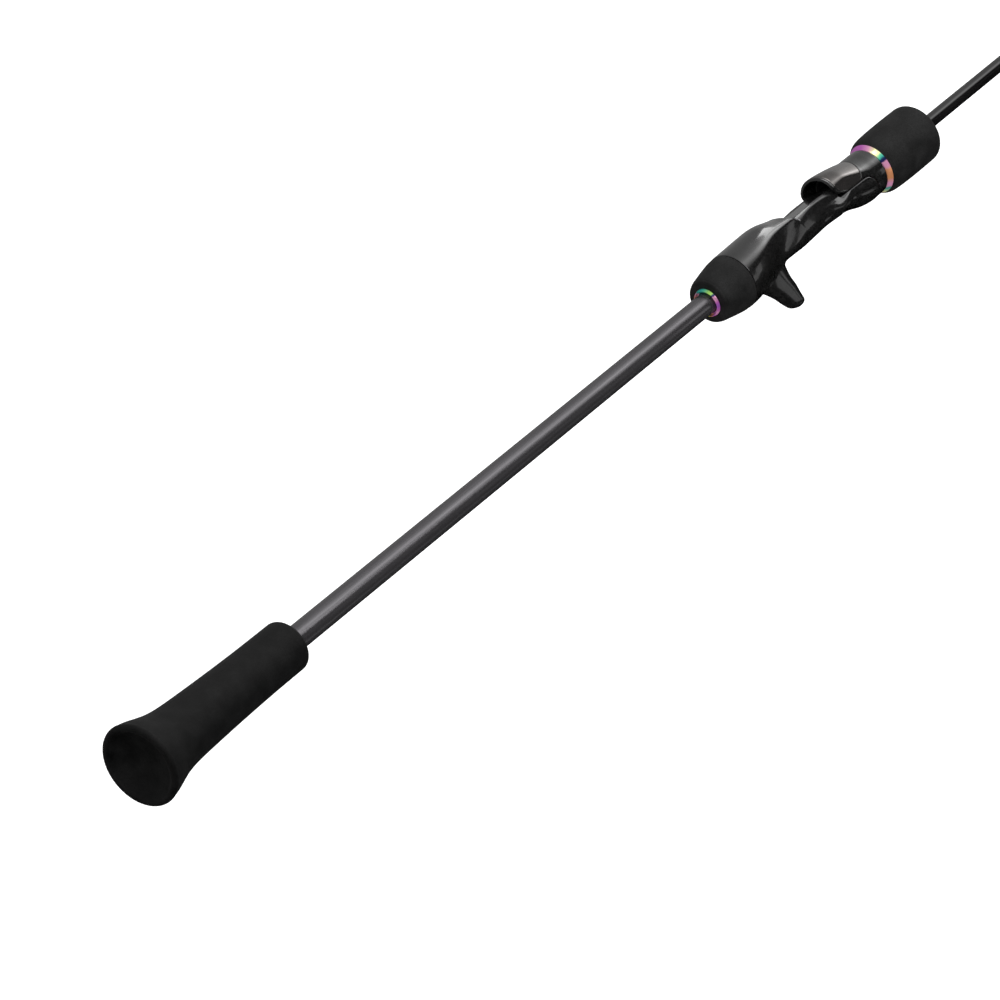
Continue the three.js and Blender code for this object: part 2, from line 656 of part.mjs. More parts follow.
// ---- Build ----
add("butt_grip", buttGrip(), FOAM);
const checkBore = tubeRadius(BUTT_GRIP.front) + BOND + 0.1;
const buttFace = BUTT_GRIP.front + TRIM.seatGap;
add("butt_check_ring", trimRing(buttFace, buttFace + TRIM.thickness, BUTT_TRIM, checkBore), IRIDESCENT);
add("handle_tube", handleTube(), CARBON);
const rearBore = tubeRadius(REAR_CONE.rear - 2) + BOND + 0.1;
const coneFace = REAR_CONE.rear - TRIM.seatGap;
add("rear_check_ring", trimRing(coneFace, coneFace - TRIM.rearThickness, REAR_TRIM, rearBore), IRIDESCENT);
add("rear_grip_cone", rearCone(), FOAM);
add("ferrule_bush", ferrule(), NYLON);
add("blank", blank(), GLOSS_BLANK);
add("seat_body", seatBody(), SEAT_BLACK);
add("rear_arbor", arbor(-22, 8), NYLON);
add("front_arbor", arbor(38, 78), NYLON);
add("hood_frame", hoodFrame(), SEAT_BLACK);
add("hood_cover", hoodCover(), GUNMETAL);
add("hood_cushion", hoodCushion(), CUSHION);
add("hood_clip", hoodClip(), SPRING_STEEL);
add("lock_nut", lockNut(), NYLON);
const foreFace = FOREGRIP.rear - TRIM.foreGap;
add("fore_check_ring", trimRing(foreFace, HOOD.front + GAP, FORE_TRIM, NECK.radius + BOND), IRIDESCENT);
add("foregrip", foregrip(), FOAM);
GUIDES.forEach((guide, i) => addGuide(i + 1, guide));
addTipTop();

export default assembly;
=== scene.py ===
import math

import bpy
import numpy as np
from mathutils import Matrix, Vector


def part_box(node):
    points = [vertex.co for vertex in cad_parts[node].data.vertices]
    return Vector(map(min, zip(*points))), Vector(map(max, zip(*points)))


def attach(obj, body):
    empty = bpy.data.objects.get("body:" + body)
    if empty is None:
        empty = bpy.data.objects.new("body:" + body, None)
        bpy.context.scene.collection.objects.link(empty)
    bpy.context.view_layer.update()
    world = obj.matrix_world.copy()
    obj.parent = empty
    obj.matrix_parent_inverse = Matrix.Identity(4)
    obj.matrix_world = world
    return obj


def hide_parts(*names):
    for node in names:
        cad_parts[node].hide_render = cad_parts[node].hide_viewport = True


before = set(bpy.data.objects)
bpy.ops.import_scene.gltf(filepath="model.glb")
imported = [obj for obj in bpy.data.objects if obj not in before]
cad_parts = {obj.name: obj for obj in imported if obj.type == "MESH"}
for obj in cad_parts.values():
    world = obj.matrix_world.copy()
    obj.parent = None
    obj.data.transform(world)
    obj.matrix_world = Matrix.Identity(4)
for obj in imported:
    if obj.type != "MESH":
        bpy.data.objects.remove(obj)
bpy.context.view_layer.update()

# A casting rod with an empty trigger reel seat. Shapes are worked out in millimetres about the
# rod's own axis, and place() turns them into metres in the row frame. +X points to the tip.
MM = 0.001
scene = bpy.context.scene


# ---- Sizes that come from the frame ----
def span(node):
    """First and last X of a CAD node, in millimetres."""
    low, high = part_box(node)
    return low[0] / MM, high[0] / MM


def reach(node):
    """Half of a CAD node's width across the rod, in millimetres."""
    low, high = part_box(node)
    return (high[1] - low[1]) / 2 / MM


def middle(node):
    low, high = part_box(node)
    return [(a + b) / 2 / MM for a, b in zip(low, high)]


AXIS_Z = middle("blank")[2]
DECK = -AXIS_Z  # height of the reel deck over the rod's axis
SEAT_REAR = span("seat_body")[0]
BARREL_END = span("seat_body")[1]
HOOD_REAR, HOOD_FRONT = span("hood_frame")
HOOD_RADIUS = reach("hood_frame")
SWELL_RADIUS = reach("seat_body")
BLANK_REAR, BLANK_FRONT = span("blank")
BLANK_RADIUS = reach("blank")
BLANK_TIP_RADIUS = 0.85


def blank_radius(x):
    share = (x - BLANK_REAR) / (BLANK_FRONT - BLANK_REAR)
    return BLANK_RADIUS + (BLANK_TIP_RADIUS - BLANK_RADIUS) * share


# ---- Meshes ----
def place(points):
    """Points in millimetres about the rod's axis, as metres in the row frame."""
    points = np.asarray(points, dtype=float)
    return (points + [0, 0, AXIS_Z]) * MM


def add_mesh(name, points, faces, material, body, slot, nodes=(), smooth_angle=None):
    """A closed piece that rides on a body, takes a material and stands for CAD nodes. The slot argument
    is not used.
    """
    mesh = bpy.data.meshes.new(name)
    mesh.from_pydata(place(points).tolist(), [], [list(map(int, face)) for face in faces])
    return finish_mesh(name, mesh, material, body, nodes, smooth_angle)


def finish_mesh(name, mesh, material, body, nodes, smooth_angle):
    mesh.validate()
    mesh.shade_smooth()
    if smooth_angle:
        mesh.set_sharp_from_angle(angle=math.radians(smooth_angle))
    mesh.materials.append(material)
    piece = bpy.data.objects.new(name, mesh)
    scene.collection.objects.link(piece)
    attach(piece, body)
    if nodes:
        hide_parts(*nodes)
    return piece


def lathe(profile, segments):
    """Points and faces of a solid of revolution. The profile's [x, radius] points start and end
    on the axis, or close on themselves when neither end is on it."""
    profile = np.asarray(profile, dtype=float)
    closed = profile[0, 1] > 1e-9
    turn = np.linspace(0, 2 * math.pi, segments, endpoint=False)
    rings = profile if closed else profile[1:-1]
    count = len(rings)
    points = [
        (x, radius * math.sin(a), radius * math.cos(a)) for x, radius in rings for a in turn
    ]
    faces = []
    for k in range(count if closed else count - 1):
        for j in range(segments):
            a, b = k * segments, ((k + 1) % count) * segments
            n = (j + 1) % segments
            faces.append((a + j, a + n, b + n, b + j))
    if not closed:
        points += [(profile[0, 0], 0, 0), (profile[-1, 0], 0, 0)]
        first, last = len(points) - 2, len(points) - 1
        end = (count - 1) * segments
        for j in range(segments):
            n = (j + 1) % segments
            faces.append((first, n, j))
            faces.append((last, end + j, end + n))
    return facing_out(np.array(points), faces)


def facing_out(points, faces):
    """The same faces, turned round if the closed mesh they make is inside out."""
    volume = 0.0
    for face in faces:
        a = points[face[0]]
        for b, c in zip(face[1:-1], face[2:]):
            volume += np.dot(a, np.cross(points[b], points[c]))
    if volume < 0:
        faces = [tuple(reversed(face)) for face in faces]
    return points, faces


def merged(shells):
    """Several closed meshes as one."""
    points, faces = [], []
    for shell_points, shell_faces in shells:
        first = sum(len(p) for p in points)
        points.append(shell_points)
        faces += [tuple(first + corner for corner in face) for face in shell_faces]
    return np.vstack(points), faces


def sweep(path, sizes, count=16):
    """A closed bar of oval section along a path. sizes has each section's half height, in the
    rod's upright plane, and its half width."""
    path = np.asarray(path, dtype=float)
    sizes = np.asarray(sizes, dtype=float)
    ahead = np.gradient(path, axis=0)
    ahead /= np.linalg.norm(ahead, axis=1)[:, None]
    rise = np.cross((0, 1, 0), ahead)
    rise /= np.linalg.norm(rise, axis=1)[:, None]
    side = np.cross(ahead, rise)
    turn = np.linspace(0, 2 * math.pi, count, endpoint=False)
    points = path[:, None] + rise[:, None] * np.cos(turn)[:, None] * sizes[:, 0, None, None]
    points = points + side[:, None] * np.sin(turn)[:, None] * sizes[:, 1, None, None]
    last = (len(path) - 1) * count
    faces = [tuple(range(count)), tuple(last + j for j in reversed(range(count)))]
    for k in range(len(path) - 1):
        for j in range(count):
            a, b = k * count + j, k * count + (j + 1) % count
            faces.append((a, b, b + count, a + count))
    return facing_out(points.reshape(-1, 3), faces)


def bend(start, middle_point, end, steps=12):
    """Points along a curve that leaves for a middle point and arrives from it."""
    t = np.linspace(0, 1, steps + 1)[:, None]
    start, middle_point, end = (np.array(p, dtype=float) for p in (start, middle_point, end))
    return start * (1 - t) ** 2 + middle_point * 2 * t * (1 - t) + end * t * t


def arc(x, radius, size, start, end, steps=6):
    """Profile points of a round corner about a centre, from one direction to another in degrees."""
    turn = np.radians(np.linspace(start, end, steps + 1))
    return [[x + size * math.cos(a), radius + size * math.sin(a)] for a in turn]


def smooth_curve(points, steps):
    """A smooth curve through [x, y] points, with some steps between each two."""
    points = np.asarray(points, dtype=float)
    padded = np.vstack([2 * points[0] - points[1], points, 2 * points[-1] - points[-2]])
    out = []
    for a, b, c, d in zip(padded, padded[1:], padded[2:], padded[3:]):
        for t in np.linspace(0, 1, steps, endpoint=False):
            even = 2 * b + (c - a) * t + (2 * a - 5 * b + 4 * c - d) * t * t
            out.append(((even + (3 * b - a - 3 * c + d) * t**3) / 2).tolist())
    out.append(points[-1].tolist())
    return out


def along(table):
    """A smooth function of one number through the table's (at, value) rows."""
    rows = np.array(table, dtype=float)
    at, value = rows[:, 0], rows[:, 1]
    slope = np.gradient(value, at)

    def value_at(x):
        x = np.clip(x, at[0], at[-1])
        k = np.clip(np.searchsorted(at, x) - 1, 0, len(at) - 2)
        h = at[k + 1] - at[k]
        t = (x - at[k]) / h
        start = (1 + 2 * t) * (1 - t) ** 2 * value[k] + t * (1 - t) ** 2 * h * slope[k]
        return start + t * t * (3 - 2 * t) * value[k + 1] + t * t * (t - 1) * h * slope[k + 1]

    return value_at


# ---- Shapes as fields: negative inside, about the distance in millimetres outside ----
def soft_max(a, b, size):
    h = np.maximum(size - np.abs(a - b), 0) / size
    return np.maximum(a, b) + h * h * size / 4


def soft_min(a, b, size):
    return -soft_max(-a, -b, size)


def cut(a, b, size=0.4):
    return soft_max(a, -b, size)


def section(y, z, half_width, top, bottom, level=0.0, power=2.0):
    """An oval tube, with its own half height above and below its widest level."""
    up = z - level
    height = np.where(up > 0, top - level, level - bottom)
    q = (np.abs(y) / half_width) ** power + (np.abs(up) / height) ** power
    q = np.maximum(q, 1e-9) ** (1 / power)
    return np.hypot(y, up) * (1 - 1 / q) + np.where(q < 0.02, -np.minimum(half_width, height), 0)


def tube(y, z, radius):
    return np.hypot(y, z) - radius


def between(v, low, high):
    return np.maximum(low - v, v - high)


def field_mesh(field, low, high, pitch):
    """Points and quads of the surface where the field is zero, one point to each grid cell that
    the surface crosses, moved onto the surface."""
    axes = [np.arange(a, b + pitch, pitch) for a, b in zip(low, high)]
    shape = [len(a) for a in axes]
    values = np.empty(shape)
    for i, x in enumerate(axes[0]):
        y, z = np.meshgrid(axes[1], axes[2], indexing="ij")
        values[i] = field(np.full(y.shape, x), y, z)
    inside = values < 0
    total = np.zeros([n - 1 for n in shape] + [3])
    hits = np.zeros([n - 1 for n in shape])
    crossings = []
    for axis in range(3):
        first = [slice(None)] * 3
        second = [slice(None)] * 3
        first[axis], second[axis] = slice(0, -1), slice(1, None)
        a, b = values[tuple(first)], values[tuple(second)]
        where = np.argwhere(inside[tuple(first)] != inside[tuple(second)])
        va, vb = a[tuple(where.T)], b[tuple(where.T)]
        point = where.astype(float)
        point[:, axis] += va / (va - vb)
        others = [k for k in range(3) if k != axis]
        cells = []
        for du, dv in ((0, 0), (1, 0), (1, 1), (0, 1)):
            cell = where.copy()
            cell[:, others[0]] -= du
            cell[:, others[1]] -= dv
            np.add.at(total, tuple(cell.T), point)
            np.add.at(hits, tuple(cell.T), 1)
            cells.append(cell)
        crossings.append((axis, va < 0, cells))
    used = hits > 0
    index = np.full(used.shape, -1)
    index[used] = np.arange(used.sum())
    points = total[used] / hits[used][:, None] * pitch + [a[0] for a in axes]
    faces = []
    for axis, outward, cells in crossings:
        quad = np.stack([index[tuple(c.T)] for c in cells], axis=1)
        flip = outward if axis == 1 else ~outward
        quad[flip] = quad[flip][:, ::-1]
        faces.append(quad)
    return settle(field, points, pitch), np.vstack(faces)


def settle(field, points, pitch):
    """Moves points onto the field's zero surface, at most one grid pitch."""
    start = points.copy()
    step = 0.02
    for _ in range(4):
        value = field(*points.T)
        slope = np.stack(
            [(field(*(points + d).T) - value) / step for d in np.eye(3) * step], axis=1
        )
        move = slope * (value / np.maximum((slope**2).sum(1), 0.05))[:, None]
        points = points - np.clip(move, -pitch / 2, pitch / 2)
    return start + np.clip(points - start, -pitch, pitch)


# ---- Materials ----
def new_material(name, **values):
    material = bpy.data.materials.new(name)
    material.use_nodes = True
    shader = material.node_tree.nodes["Principled BSDF"]
    for key, value in values.items():
        shader.inputs[key.replace("_", " ")].default_value = value
    return material, material.node_tree, shader


def node(tree, kind, **values):
    made = tree.nodes.new("ShaderNode" + kind)
    for key, value in values.items():
        if key in made.inputs:
            made.inputs[key].default_value = value
        else:
            setattr(made, key, value)
    return made


def object_point(tree, scale=(1, 1, 1)):
    """Where a point of the piece is, in millimetres about the rod's axis."""
    own_point = node(tree, "TexCoord").outputs["Object"]
    mapping = node(tree, "Mapping")
    mapping.inputs["Location"].default_value = (0, 0, -AXIS_Z * scale[2])
    mapping.inputs["Scale"].default_value = [s / MM for s in scale]
    tree.links.new(own_point, mapping.inputs["Vector"])
    return mapping.outputs["Vector"]


def noise(tree, point, size, detail=2.0, roughness=0.5, distortion=0.0):
    """Noise whose grains are about that many millimetres wide."""
    made = node(tree, "TexNoise", Scale=1 / size, Detail=detail, Roughness=roughness)
    made.inputs["Distortion"].default_value = distortion
    tree.links.new(point, made.inputs["Vector"])
    return made.outputs["Fac"]


def ramp(tree, value, stops):
    """A colour ramp from (position, colour) stops."""
    made = node(tree, "ValToRGB")
    elements = made.color_ramp.elements
    while len(elements) < len(stops):
        elements.new(0.5)
    for element, (position, colour) in zip(elements, stops):
        element.position = position
        element.color = (*colour, 1)
    tree.links.new(value, made.inputs["Fac"])
    return made.outputs["Color"]


def spread(tree, value, low, high):
    made = node(tree, "MapRange")
    made.inputs["To Min"].default_value = low
    made.inputs["To Max"].default_value = high
    tree.links.new(value, made.inputs["Value"])
    return made.outputs["Result"]


def bump(tree, shader, height, depth_mm, strength=1.0, normal=None):
    made = node(tree, "Bump", Strength=strength, Distance=depth_mm * MM)
    tree.links.new(height, made.inputs["Height"])
    if normal:
        tree.links.new(normal, made.inputs["Normal"])
    tree.links.new(made.outputs["Normal"], shader.inputs["Normal"])
    return made.outputs["Normal"]


def grey(v):
    return (v, v, v)


def foam(name, low, high):
    """Closed-cell foam: a dull skin of fine cells with a few larger ones, cut and sanded."""
    material, tree, shader = new_material(
        name, Roughness=0.72, Sheen_Weight=0.02, Sheen_Roughness=0.4
    )
    shader.inputs["Specular IOR Level"].default_value = 0.22
    point = object_point(tree)
    cells = noise(tree, point, 0.55, detail=3, roughness=0.65)
    broad = noise(tree, point, 9, detail=3)
    mix = node(tree, "Math", operation="MULTIPLY")
    tree.links.new(cells, mix.inputs[0])
    tree.links.new(broad, mix.inputs[1])
    colour = ramp(tree, mix.outputs[0], [(0.12, grey(low)), (0.42, grey(high))])
    tree.links.new(colour, shader.inputs["Base Color"])
    first = bump(tree, shader, cells, 0.12, 0.8)
    pits = node(tree, "TexVoronoi", Scale=1 / 1.3)
    tree.links.new(point, pits.inputs["Vector"])
    depth = ramp(tree, pits.outputs["Distance"], [(0.1, grey(0.0)), (0.32, grey(1.0))])
    bump(tree, shader, depth, 0.05, 0.5, first)
    return material


def satin_tube():
    """Carbon tube under a satin clear coat, with the faint slanting laps of its wound cloth."""
    material, tree, shader = new_material("handle_tube_satin", Metallic=0.78, Roughness=0.23)
    point = object_point(tree)
    streaks = noise(tree, object_point(tree, (0.02, 1, 1)), 0.8, detail=3)
    flecks = noise(tree, point, 0.25, detail=2, roughness=0.7)
    mix = node(tree, "Math", operation="ADD")
    tree.links.new(streaks, mix.inputs[0])
    tree.links.new(flecks, mix.inputs[1])
    stops = [(0.35, (0.12, 0.116, 0.123)), (0.65, (0.172, 0.166, 0.175))]
    half = node(tree, "Math", operation="MULTIPLY")
    half.inputs[1].default_value = 0.5
    tree.links.new(mix.outputs[0], half.inputs[0])
    tree.links.new(ramp(tree, half.outputs[0], stops), shader.inputs["Base Color"])
    tree.links.new(spread(tree, streaks, 0.19, 0.27), shader.inputs["Roughness"])
    bump(tree, shader, flecks, 0.012, 0.5)
    return material


def gloss_blank():
    """Black carbon under a deep gloss lacquer, with a little lacquer ripple."""
    material, tree, shader = new_material("blank_gloss", Roughness=0.08, Coat_Weight=0.6)
    shader.inputs["Coat Roughness"].default_value = 0.03
    grain = noise(tree, object_point(tree, (0.03, 1, 1)), 0.5, detail=3)
    stops = [(0.3, grey(0.004)), (0.7, grey(0.012))]
    tree.links.new(ramp(tree, grain, stops), shader.inputs["Base Color"])
    ripple = noise(tree, object_point(tree, (0.05, 1, 1)), 4.0)
    bump(tree, shader, ripple, 0.02, 0.35)
    return material


def seat_black():
    """Gloss black seat with a chopped carbon fleck under its clear coat."""
    material, tree, shader = new_material("seat_gloss_black", Roughness=0.2, Coat_Weight=0.8)
    shader.inputs["Coat Roughness"].default_value = 0.06
    point = object_point(tree)
    fibres = noise(tree, point, 1.6, detail=4, roughness=0.65, distortion=1.2)
    grains = noise(tree, point, 0.45, detail=2, roughness=0.6)
    mix = node(tree, "Math", operation="MULTIPLY")
    tree.links.new(fibres, mix.inputs[0])
    tree.links.new(grains, mix.inputs[1])
    stops = [(0.14, grey(0.004)), (0.26, grey(0.01)), (0.38, grey(0.022))]
    tree.links.new(ramp(tree, mix.outputs[0], stops), shader.inputs["Base Color"])
    tree.links.new(spread(tree, grains, 0.16, 0.28), shader.inputs["Roughness"])
    return material


def gunmetal():
    """Warm grey metallic paint with fine flakes under a clear coat."""
    material, tree, shader = new_material(
        "hood_panel_gunmetal", Metallic=0.85, Roughness=0.09, Coat_Weight=0.2
    )
    shader.inputs["Coat Roughness"].default_value = 0.05
    flakes = noise(tree, object_point(tree), 0.12, detail=1)
    stops = [(0.35, (0.135, 0.127, 0.123)), (0.65, (0.185, 0.174, 0.168))]
    tree.links.new(ramp(tree, flakes, stops), shader.inputs["Base Color"])
    bump(tree, shader, flakes, 0.003, 0.3)
    return material


def rainbow(name, stops, start):
    """Heat-coloured metal: the oxide's hue changes round the ring, and the row of colours also holds
    a painted highlight and painted shade. start is the angle about the rod, in turns, where the
    row of colours begins."""
    material, tree, shader = new_material(name, Metallic=0.3, Roughness=0.18)
    point = object_point(tree)
    parts = node(tree, "SeparateXYZ")
    tree.links.new(point, parts.inputs["Vector"])
    angle = node(tree, "Math", operation="ARCTAN2")
    tree.links.new(parts.outputs["Z"], angle.inputs[0])
    tree.links.new(parts.outputs["Y"], angle.inputs[1])
    turns = node(tree, "Math", operation="MULTIPLY_ADD")
    turns.inputs[1].default_value = 1 / (2 * math.pi)
    turns.inputs[2].default_value = 2 - start
    tree.links.new(angle.outputs[0], turns.inputs[0])
    wander = node(tree, "Math", operation="MULTIPLY_ADD")
    wander.inputs[1].default_value = 0.03
    tree.links.new(noise(tree, point, 4, detail=2), wander.inputs[0])
    tree.links.new(turns.outputs[0], wander.inputs[2])
    wrap = node(tree, "Math", operation="FRACT")
    tree.links.new(wander.outputs[0], wrap.inputs[0])
    tree.links.new(ramp(tree, wrap.outputs[0], stops), shader.inputs["Base Color"])
    bump(tree, shader, noise(tree, object_point(tree, (3, 1, 1)), 0.4), 0.006, 0.4)
    return material


def plain(name, colour, roughness, grain, metallic=0.0, depth=0.01):
    """A hard finish with a fine grain: its colour and shine vary a little from place to place."""
    material, tree, shader = new_material(name, Metallic=metallic, Roughness=roughness)
    grains = noise(tree, object_point(tree), grain, detail=3, roughness=0.6)
    stops = [(0.3, [c * 0.8 for c in colour]), (0.7, [c * 1.2 for c in colour])]
    tree.links.new(ramp(tree, grains, stops), shader.inputs["Base Color"])
    shine = spread(tree, grains, roughness * 0.85, roughness * 1.15)
    tree.links.new(shine, shader.inputs["Roughness"])
    bump(tree, shader, grains, depth, 0.5)
    return material


def lacquered_thread():
    """Black thread wound side by side under lacquer: fine ribs that show through the gloss, with painted
    shade in the grooves between the threads.
    """
    material, tree, shader = new_material("thread_wrap_lacquered", Roughness=0.22, Coat_Weight=1.0)
    shader.inputs["Coat Roughness"].default_value = 0.05
    thread_width = 0.12
    ribs_and_shade = node(
        tree, "TexWave", bands_direction="X", Scale=1 / thread_width / 6.28, Distortion=0.3
    )
    tree.links.new(object_point(tree), ribs_and_shade.inputs["Vector"])
    # The colour follows the ribs: painted shade darkens the grooves between the threads, and the crests
    # are lighter.
    stops = [(0.0, grey(0.003)), (1.0, grey(0.012))]
    tree.links.new(ramp(tree, ribs_and_shade.outputs["Fac"], stops), shader.inputs["Base Color"])
    bump(tree, shader, ribs_and_shade.outputs["Fac"], 0.02, 0.6)
    return material


MAGENTA, PINK, YELLOW = (0.66, 0.16, 0.62), (0.95, 0.42, 0.68), (0.95, 0.95, 0.45)
GREEN, TEAL, NAVY = (0.12, 0.6, 0.32), (0.03, 0.42, 0.36), (0.01, 0.02, 0.12)
ORANGE, LIME, PURPLE = (0.86, 0.36, 0.16), (0.36, 0.66, 0.12), (0.42, 0.14, 0.62)
# Rows of hues round the rings. The yellow band near 0.2 to 0.235 (lime in the rear row) is a painted
# highlight where the tent's brightest band glances off the ring. The navy band just past 0.25 is painted
# shade where the ring faces the camera. The other hues are the oxide's own colours.
FORE_HUES_AND_PAINTED_LIGHT = [
    (0.0, MAGENTA), (0.1, MAGENTA), (0.16, PINK), (0.2, YELLOW), (0.235, YELLOW), (0.25, GREEN),
    (0.262, TEAL), (0.272, NAVY), (0.288, NAVY), (0.296, PINK), (0.33, PINK), (0.35, ORANGE),
    (0.42, ORANGE), (0.45, PINK), (0.48, PINK), (0.5, TEAL), (0.56, YELLOW), (0.62, PINK),
    (0.7, MAGENTA), (0.78, PURPLE), (0.84, TEAL), (0.88, LIME), (0.93, PINK), (1.0, MAGENTA),
]
REAR_HUES_AND_PAINTED_LIGHT = [
    (0.0, PINK), (0.03, TEAL), (0.1, TEAL), (0.15, GREEN), (0.2, LIME), (0.235, LIME), (0.25, NAVY),
    (0.262, NAVY), (0.275, PINK), (0.31, PINK), (0.35, MAGENTA), (0.39, PURPLE), (0.43, MAGENTA),
    (0.48, PINK), (0.54, MAGENTA), (0.6, ORANGE), (0.65, LIME), (0.7, TEAL), (0.76, NAVY),
    (0.82, MAGENTA), (0.92, ORANGE), (1.0, PINK),
]
# The butt's foam is the same foam as the foregrip's and the rear cone's, given a darker colour.
FOAM_BUTT = foam("foam_butt", 0.002, 0.009)
FOAM_FORE = foam("foam_fore", 0.006, 0.022)
TUBE_SATIN = satin_tube()
BLANK_GLOSS = gloss_blank()
SEAT_BLACK = seat_black()
GUNMETAL = gunmetal()
FORE_RAINBOW = rainbow("fore_ring_rainbow", FORE_HUES_AND_PAINTED_LIGHT, 0.2)
REAR_RAINBOW = rainbow("rear_ring_rainbow", REAR_HUES_AND_PAINTED_LIGHT, 0.2)
NYLON = plain("nylon_moulded", grey(0.03), 0.5, 0.4)
CUSHION = plain("cushion_rubber_matte", grey(0.012), 0.85, 0.5, depth=0.03)
STEEL = plain("clip_steel", grey(0.45), 0.3, 0.2, metallic=1.0)
FRAME_METAL = plain(
    "guide_frame_dark_steel", (0.16, 0.16, 0.17), 0.2, 0.3, metallic=1.0, depth=0.004
)
CERAMIC = plain("guide_ceramic_polished", (0.02, 0.022, 0.026), 0.08, 0.5, depth=0.002)
THREAD = lacquered_thread()


# ---- Tubes, grips and trim rings ----
def add_lathe(name, profile, material, body, slot, nodes, segments=96, smooth_angle=40):
    points, faces = lathe(profile, segments)
    return add_mesh(name, points, faces, material, body, slot, nodes, smooth_angle)


def add_handle_tube():
    rear, front = span("handle_tube")
    wall, taper = 1.1, 0.0026
    big = reach("handle_tube")
    small = big - taper * (front - rear)
    xs = np.linspace(rear, front, 24)
    radii = big + (small - big) * (xs - rear) / (front - rear)
    outer = [[x, r] for x, r in zip(xs, radii)]
    inner = [[front, small - wall], [rear, big - wall]]
    add_lathe(
        "handle_tube_satin", outer + inner, TUBE_SATIN, "root", "handle_tube_finish",
        ["handle_tube"],
    )


def add_blank():
    xs = np.concatenate([[BLANK_REAR], np.linspace(0, BLANK_FRONT, 40)])
    outer = [[x, blank_radius(x)] for x in xs]
    hollow_end, wall = 900, 0.75
    bore = [[hollow_end, 0], [hollow_end, blank_radius(hollow_end) - wall]]
    profile = bore + [[BLANK_REAR, blank_radius(BLANK_REAR) - wall]] + outer + [[BLANK_FRONT, 0]]
    add_lathe("blank_lacquered", profile, BLANK_GLOSS, "root", "blank_lacquer", ["blank"], 48)


def add_butt_grip():
    rear, front = span("butt_grip")
    butt = rear + 0.4
    dish = smooth_curve([[7, 0], [6.8, 6], [5.6, 11.5], [2.9, 16.4], [0.1, 19]], 6)
    rim = arc(1.75, 20.1, 2.05, 205, 65, 10)
    flare = smooth_curve(
        [[4.6, 21.6], [8, 20.8], [14.5, 18.9], [21, 17.3], [30, 16.1], [45, 15.25], [70, 14.3],
         [92, 13.75], [front - butt - 4, 13.5]], 6,
    )
    bore, floor, round_size = 6.75, butt + 18, 2.4
    outline = [[butt + x, r] for x, r in dish + rim + flare]
    end = arc(front - round_size, 11.1, round_size, 84, 0, 7)
    inner = [[front, bore], [floor, bore], [floor, 0]]
    piece = add_lathe(
        "butt_grip_foam", outline + end + inner, FOAM_BUTT, "root", "eva_foam", ["butt_grip"], 128
    )


def add_rear_cone():
    rear, front = span("rear_grip_cone")[0], SEAT_REAR - 0.04
    bore, round_rear, round_front = 5.65, 0.9, 0.5
    big = reach("rear_grip_cone")
    body = smooth_curve(
        [[rear + round_rear, 11.35], [rear + 2.4, 12], [rear + 6, 12.7], [rear + 11, 13.65],
         [rear + 15.5, 14.35], [rear + 18.2, big - 0.1]], 6,
    )
    outline = (
        arc(rear + round_rear, 10.45, round_rear, 180, 115, 4)
        + body
        + arc(front - round_front, big - round_front, round_front, 80, 0, 4)
    )
    piece = add_lathe(
        "rear_cone_foam", [[rear, bore]] + outline + [[front, bore]], FOAM_FORE, "root", "eva_foam",
        ["rear_grip_cone"], 128,
    )


def add_foregrip():
    rear, front = span("foregrip")
    big = reach("foregrip")
    bore, hole, round_size, face_wall = 11.62, 3.95, 3.8, 3.3
    body = smooth_curve(
        [[rear + 0.5, 13.35], [rear + 1.8, 14.35], [rear + 4.2, 14.95], [rear + 9, 15.25],
         [rear + 16, big], [rear + 25, big - 0.02], [front - 4.2, big - 0.15]], 7,
    )
    outline = [[rear, 13.0]] + body + arc(front - round_size, big - 4.0, round_size, 84, 0, 9)
    wall = front - face_wall
    inner = [[front, hole + 0.2], [front - 0.2, hole], [wall, hole], [wall, bore], [rear, bore]]
    piece = add_lathe(
        "foregrip_foam", outline + inner, FOAM_FORE, "nut", "eva_foam", ["foregrip"], 144
    )


def add_ring(name, node_name, material, body, narrow_end, slope, bore, recess=0.0):
    """A bevelled trim ring, narrow at its rear or front end, which may be hollowed at that end."""
    rear, front = span(node_name)
    length = front - rear
    big = reach(node_name)
    small = big - slope * length
    edge, rim = 0.16, 0.5
    shape = [[0, bore], [0, big - edge], [edge, big], [length - edge, small], [length, small - edge]]
    if recess:
        shape += [[length, small - rim + 0.1], [length - edge, small - rim],
                  [length - recess, small - rim], [length - recess, bore]]
    else:
        shape += [[length, bore]]
    face, way = (front, -1) if narrow_end == "rear" else (rear, 1)
    profile = [[face + way * x, r] for x, r in shape]
    add_lathe(name, profile, material, body, "iridescent_trim", [node_name], 128, 60)


add_handle_tube()
add_blank()
add_butt_grip()
add_rear_cone()
add_foregrip()
add_ring("fore_ring_rainbow", "fore_check_ring", FORE_RAINBOW, "nut", "rear", 0.55, 10.68)
add_ring("rear_ring_rainbow", "rear_check_ring", REAR_RAINBOW, "root", "rear", 0.25, 5.7, 1.2)
add_ring("butt_ring_rainbow", "butt_check_ring", REAR_RAINBOW, "root", "front", 0.55, 6.52)

# ---- The reel seat's body ----
LIP_X = -19.5  # the fixed hood's lip, at the top
TUBE_BORE, TUBE_BORE_END = 5.7, -27.0
BLANK_BORE, BARREL_RADIUS, BARREL_REAR = 4.3, 8.5, 37
DECK_HALF_WIDTH, DECK_SIDE_SLOPE = 6.3, 1.5  # the flat of the reel deck and its flared sides
POCKET_HALF_WIDTH, POCKET_DEPTH, POCKET_MOUTH = 6.9, 16, 9  # behind and ahead of the lip
DECK_END = 38  # the deck's tongue runs this far, under the hood
EAR_TOP, EAR_SHOULDER, EAR_TOE = 1.3, 33.5, 42.4
EAR_DROP = EAR_TOP + HOOD_RADIUS + 1
SEAM = 0.3  # running gap between the hood and the shell that it slides on
POCKET_CEILING = 11.0
THREAD_START = 51.6

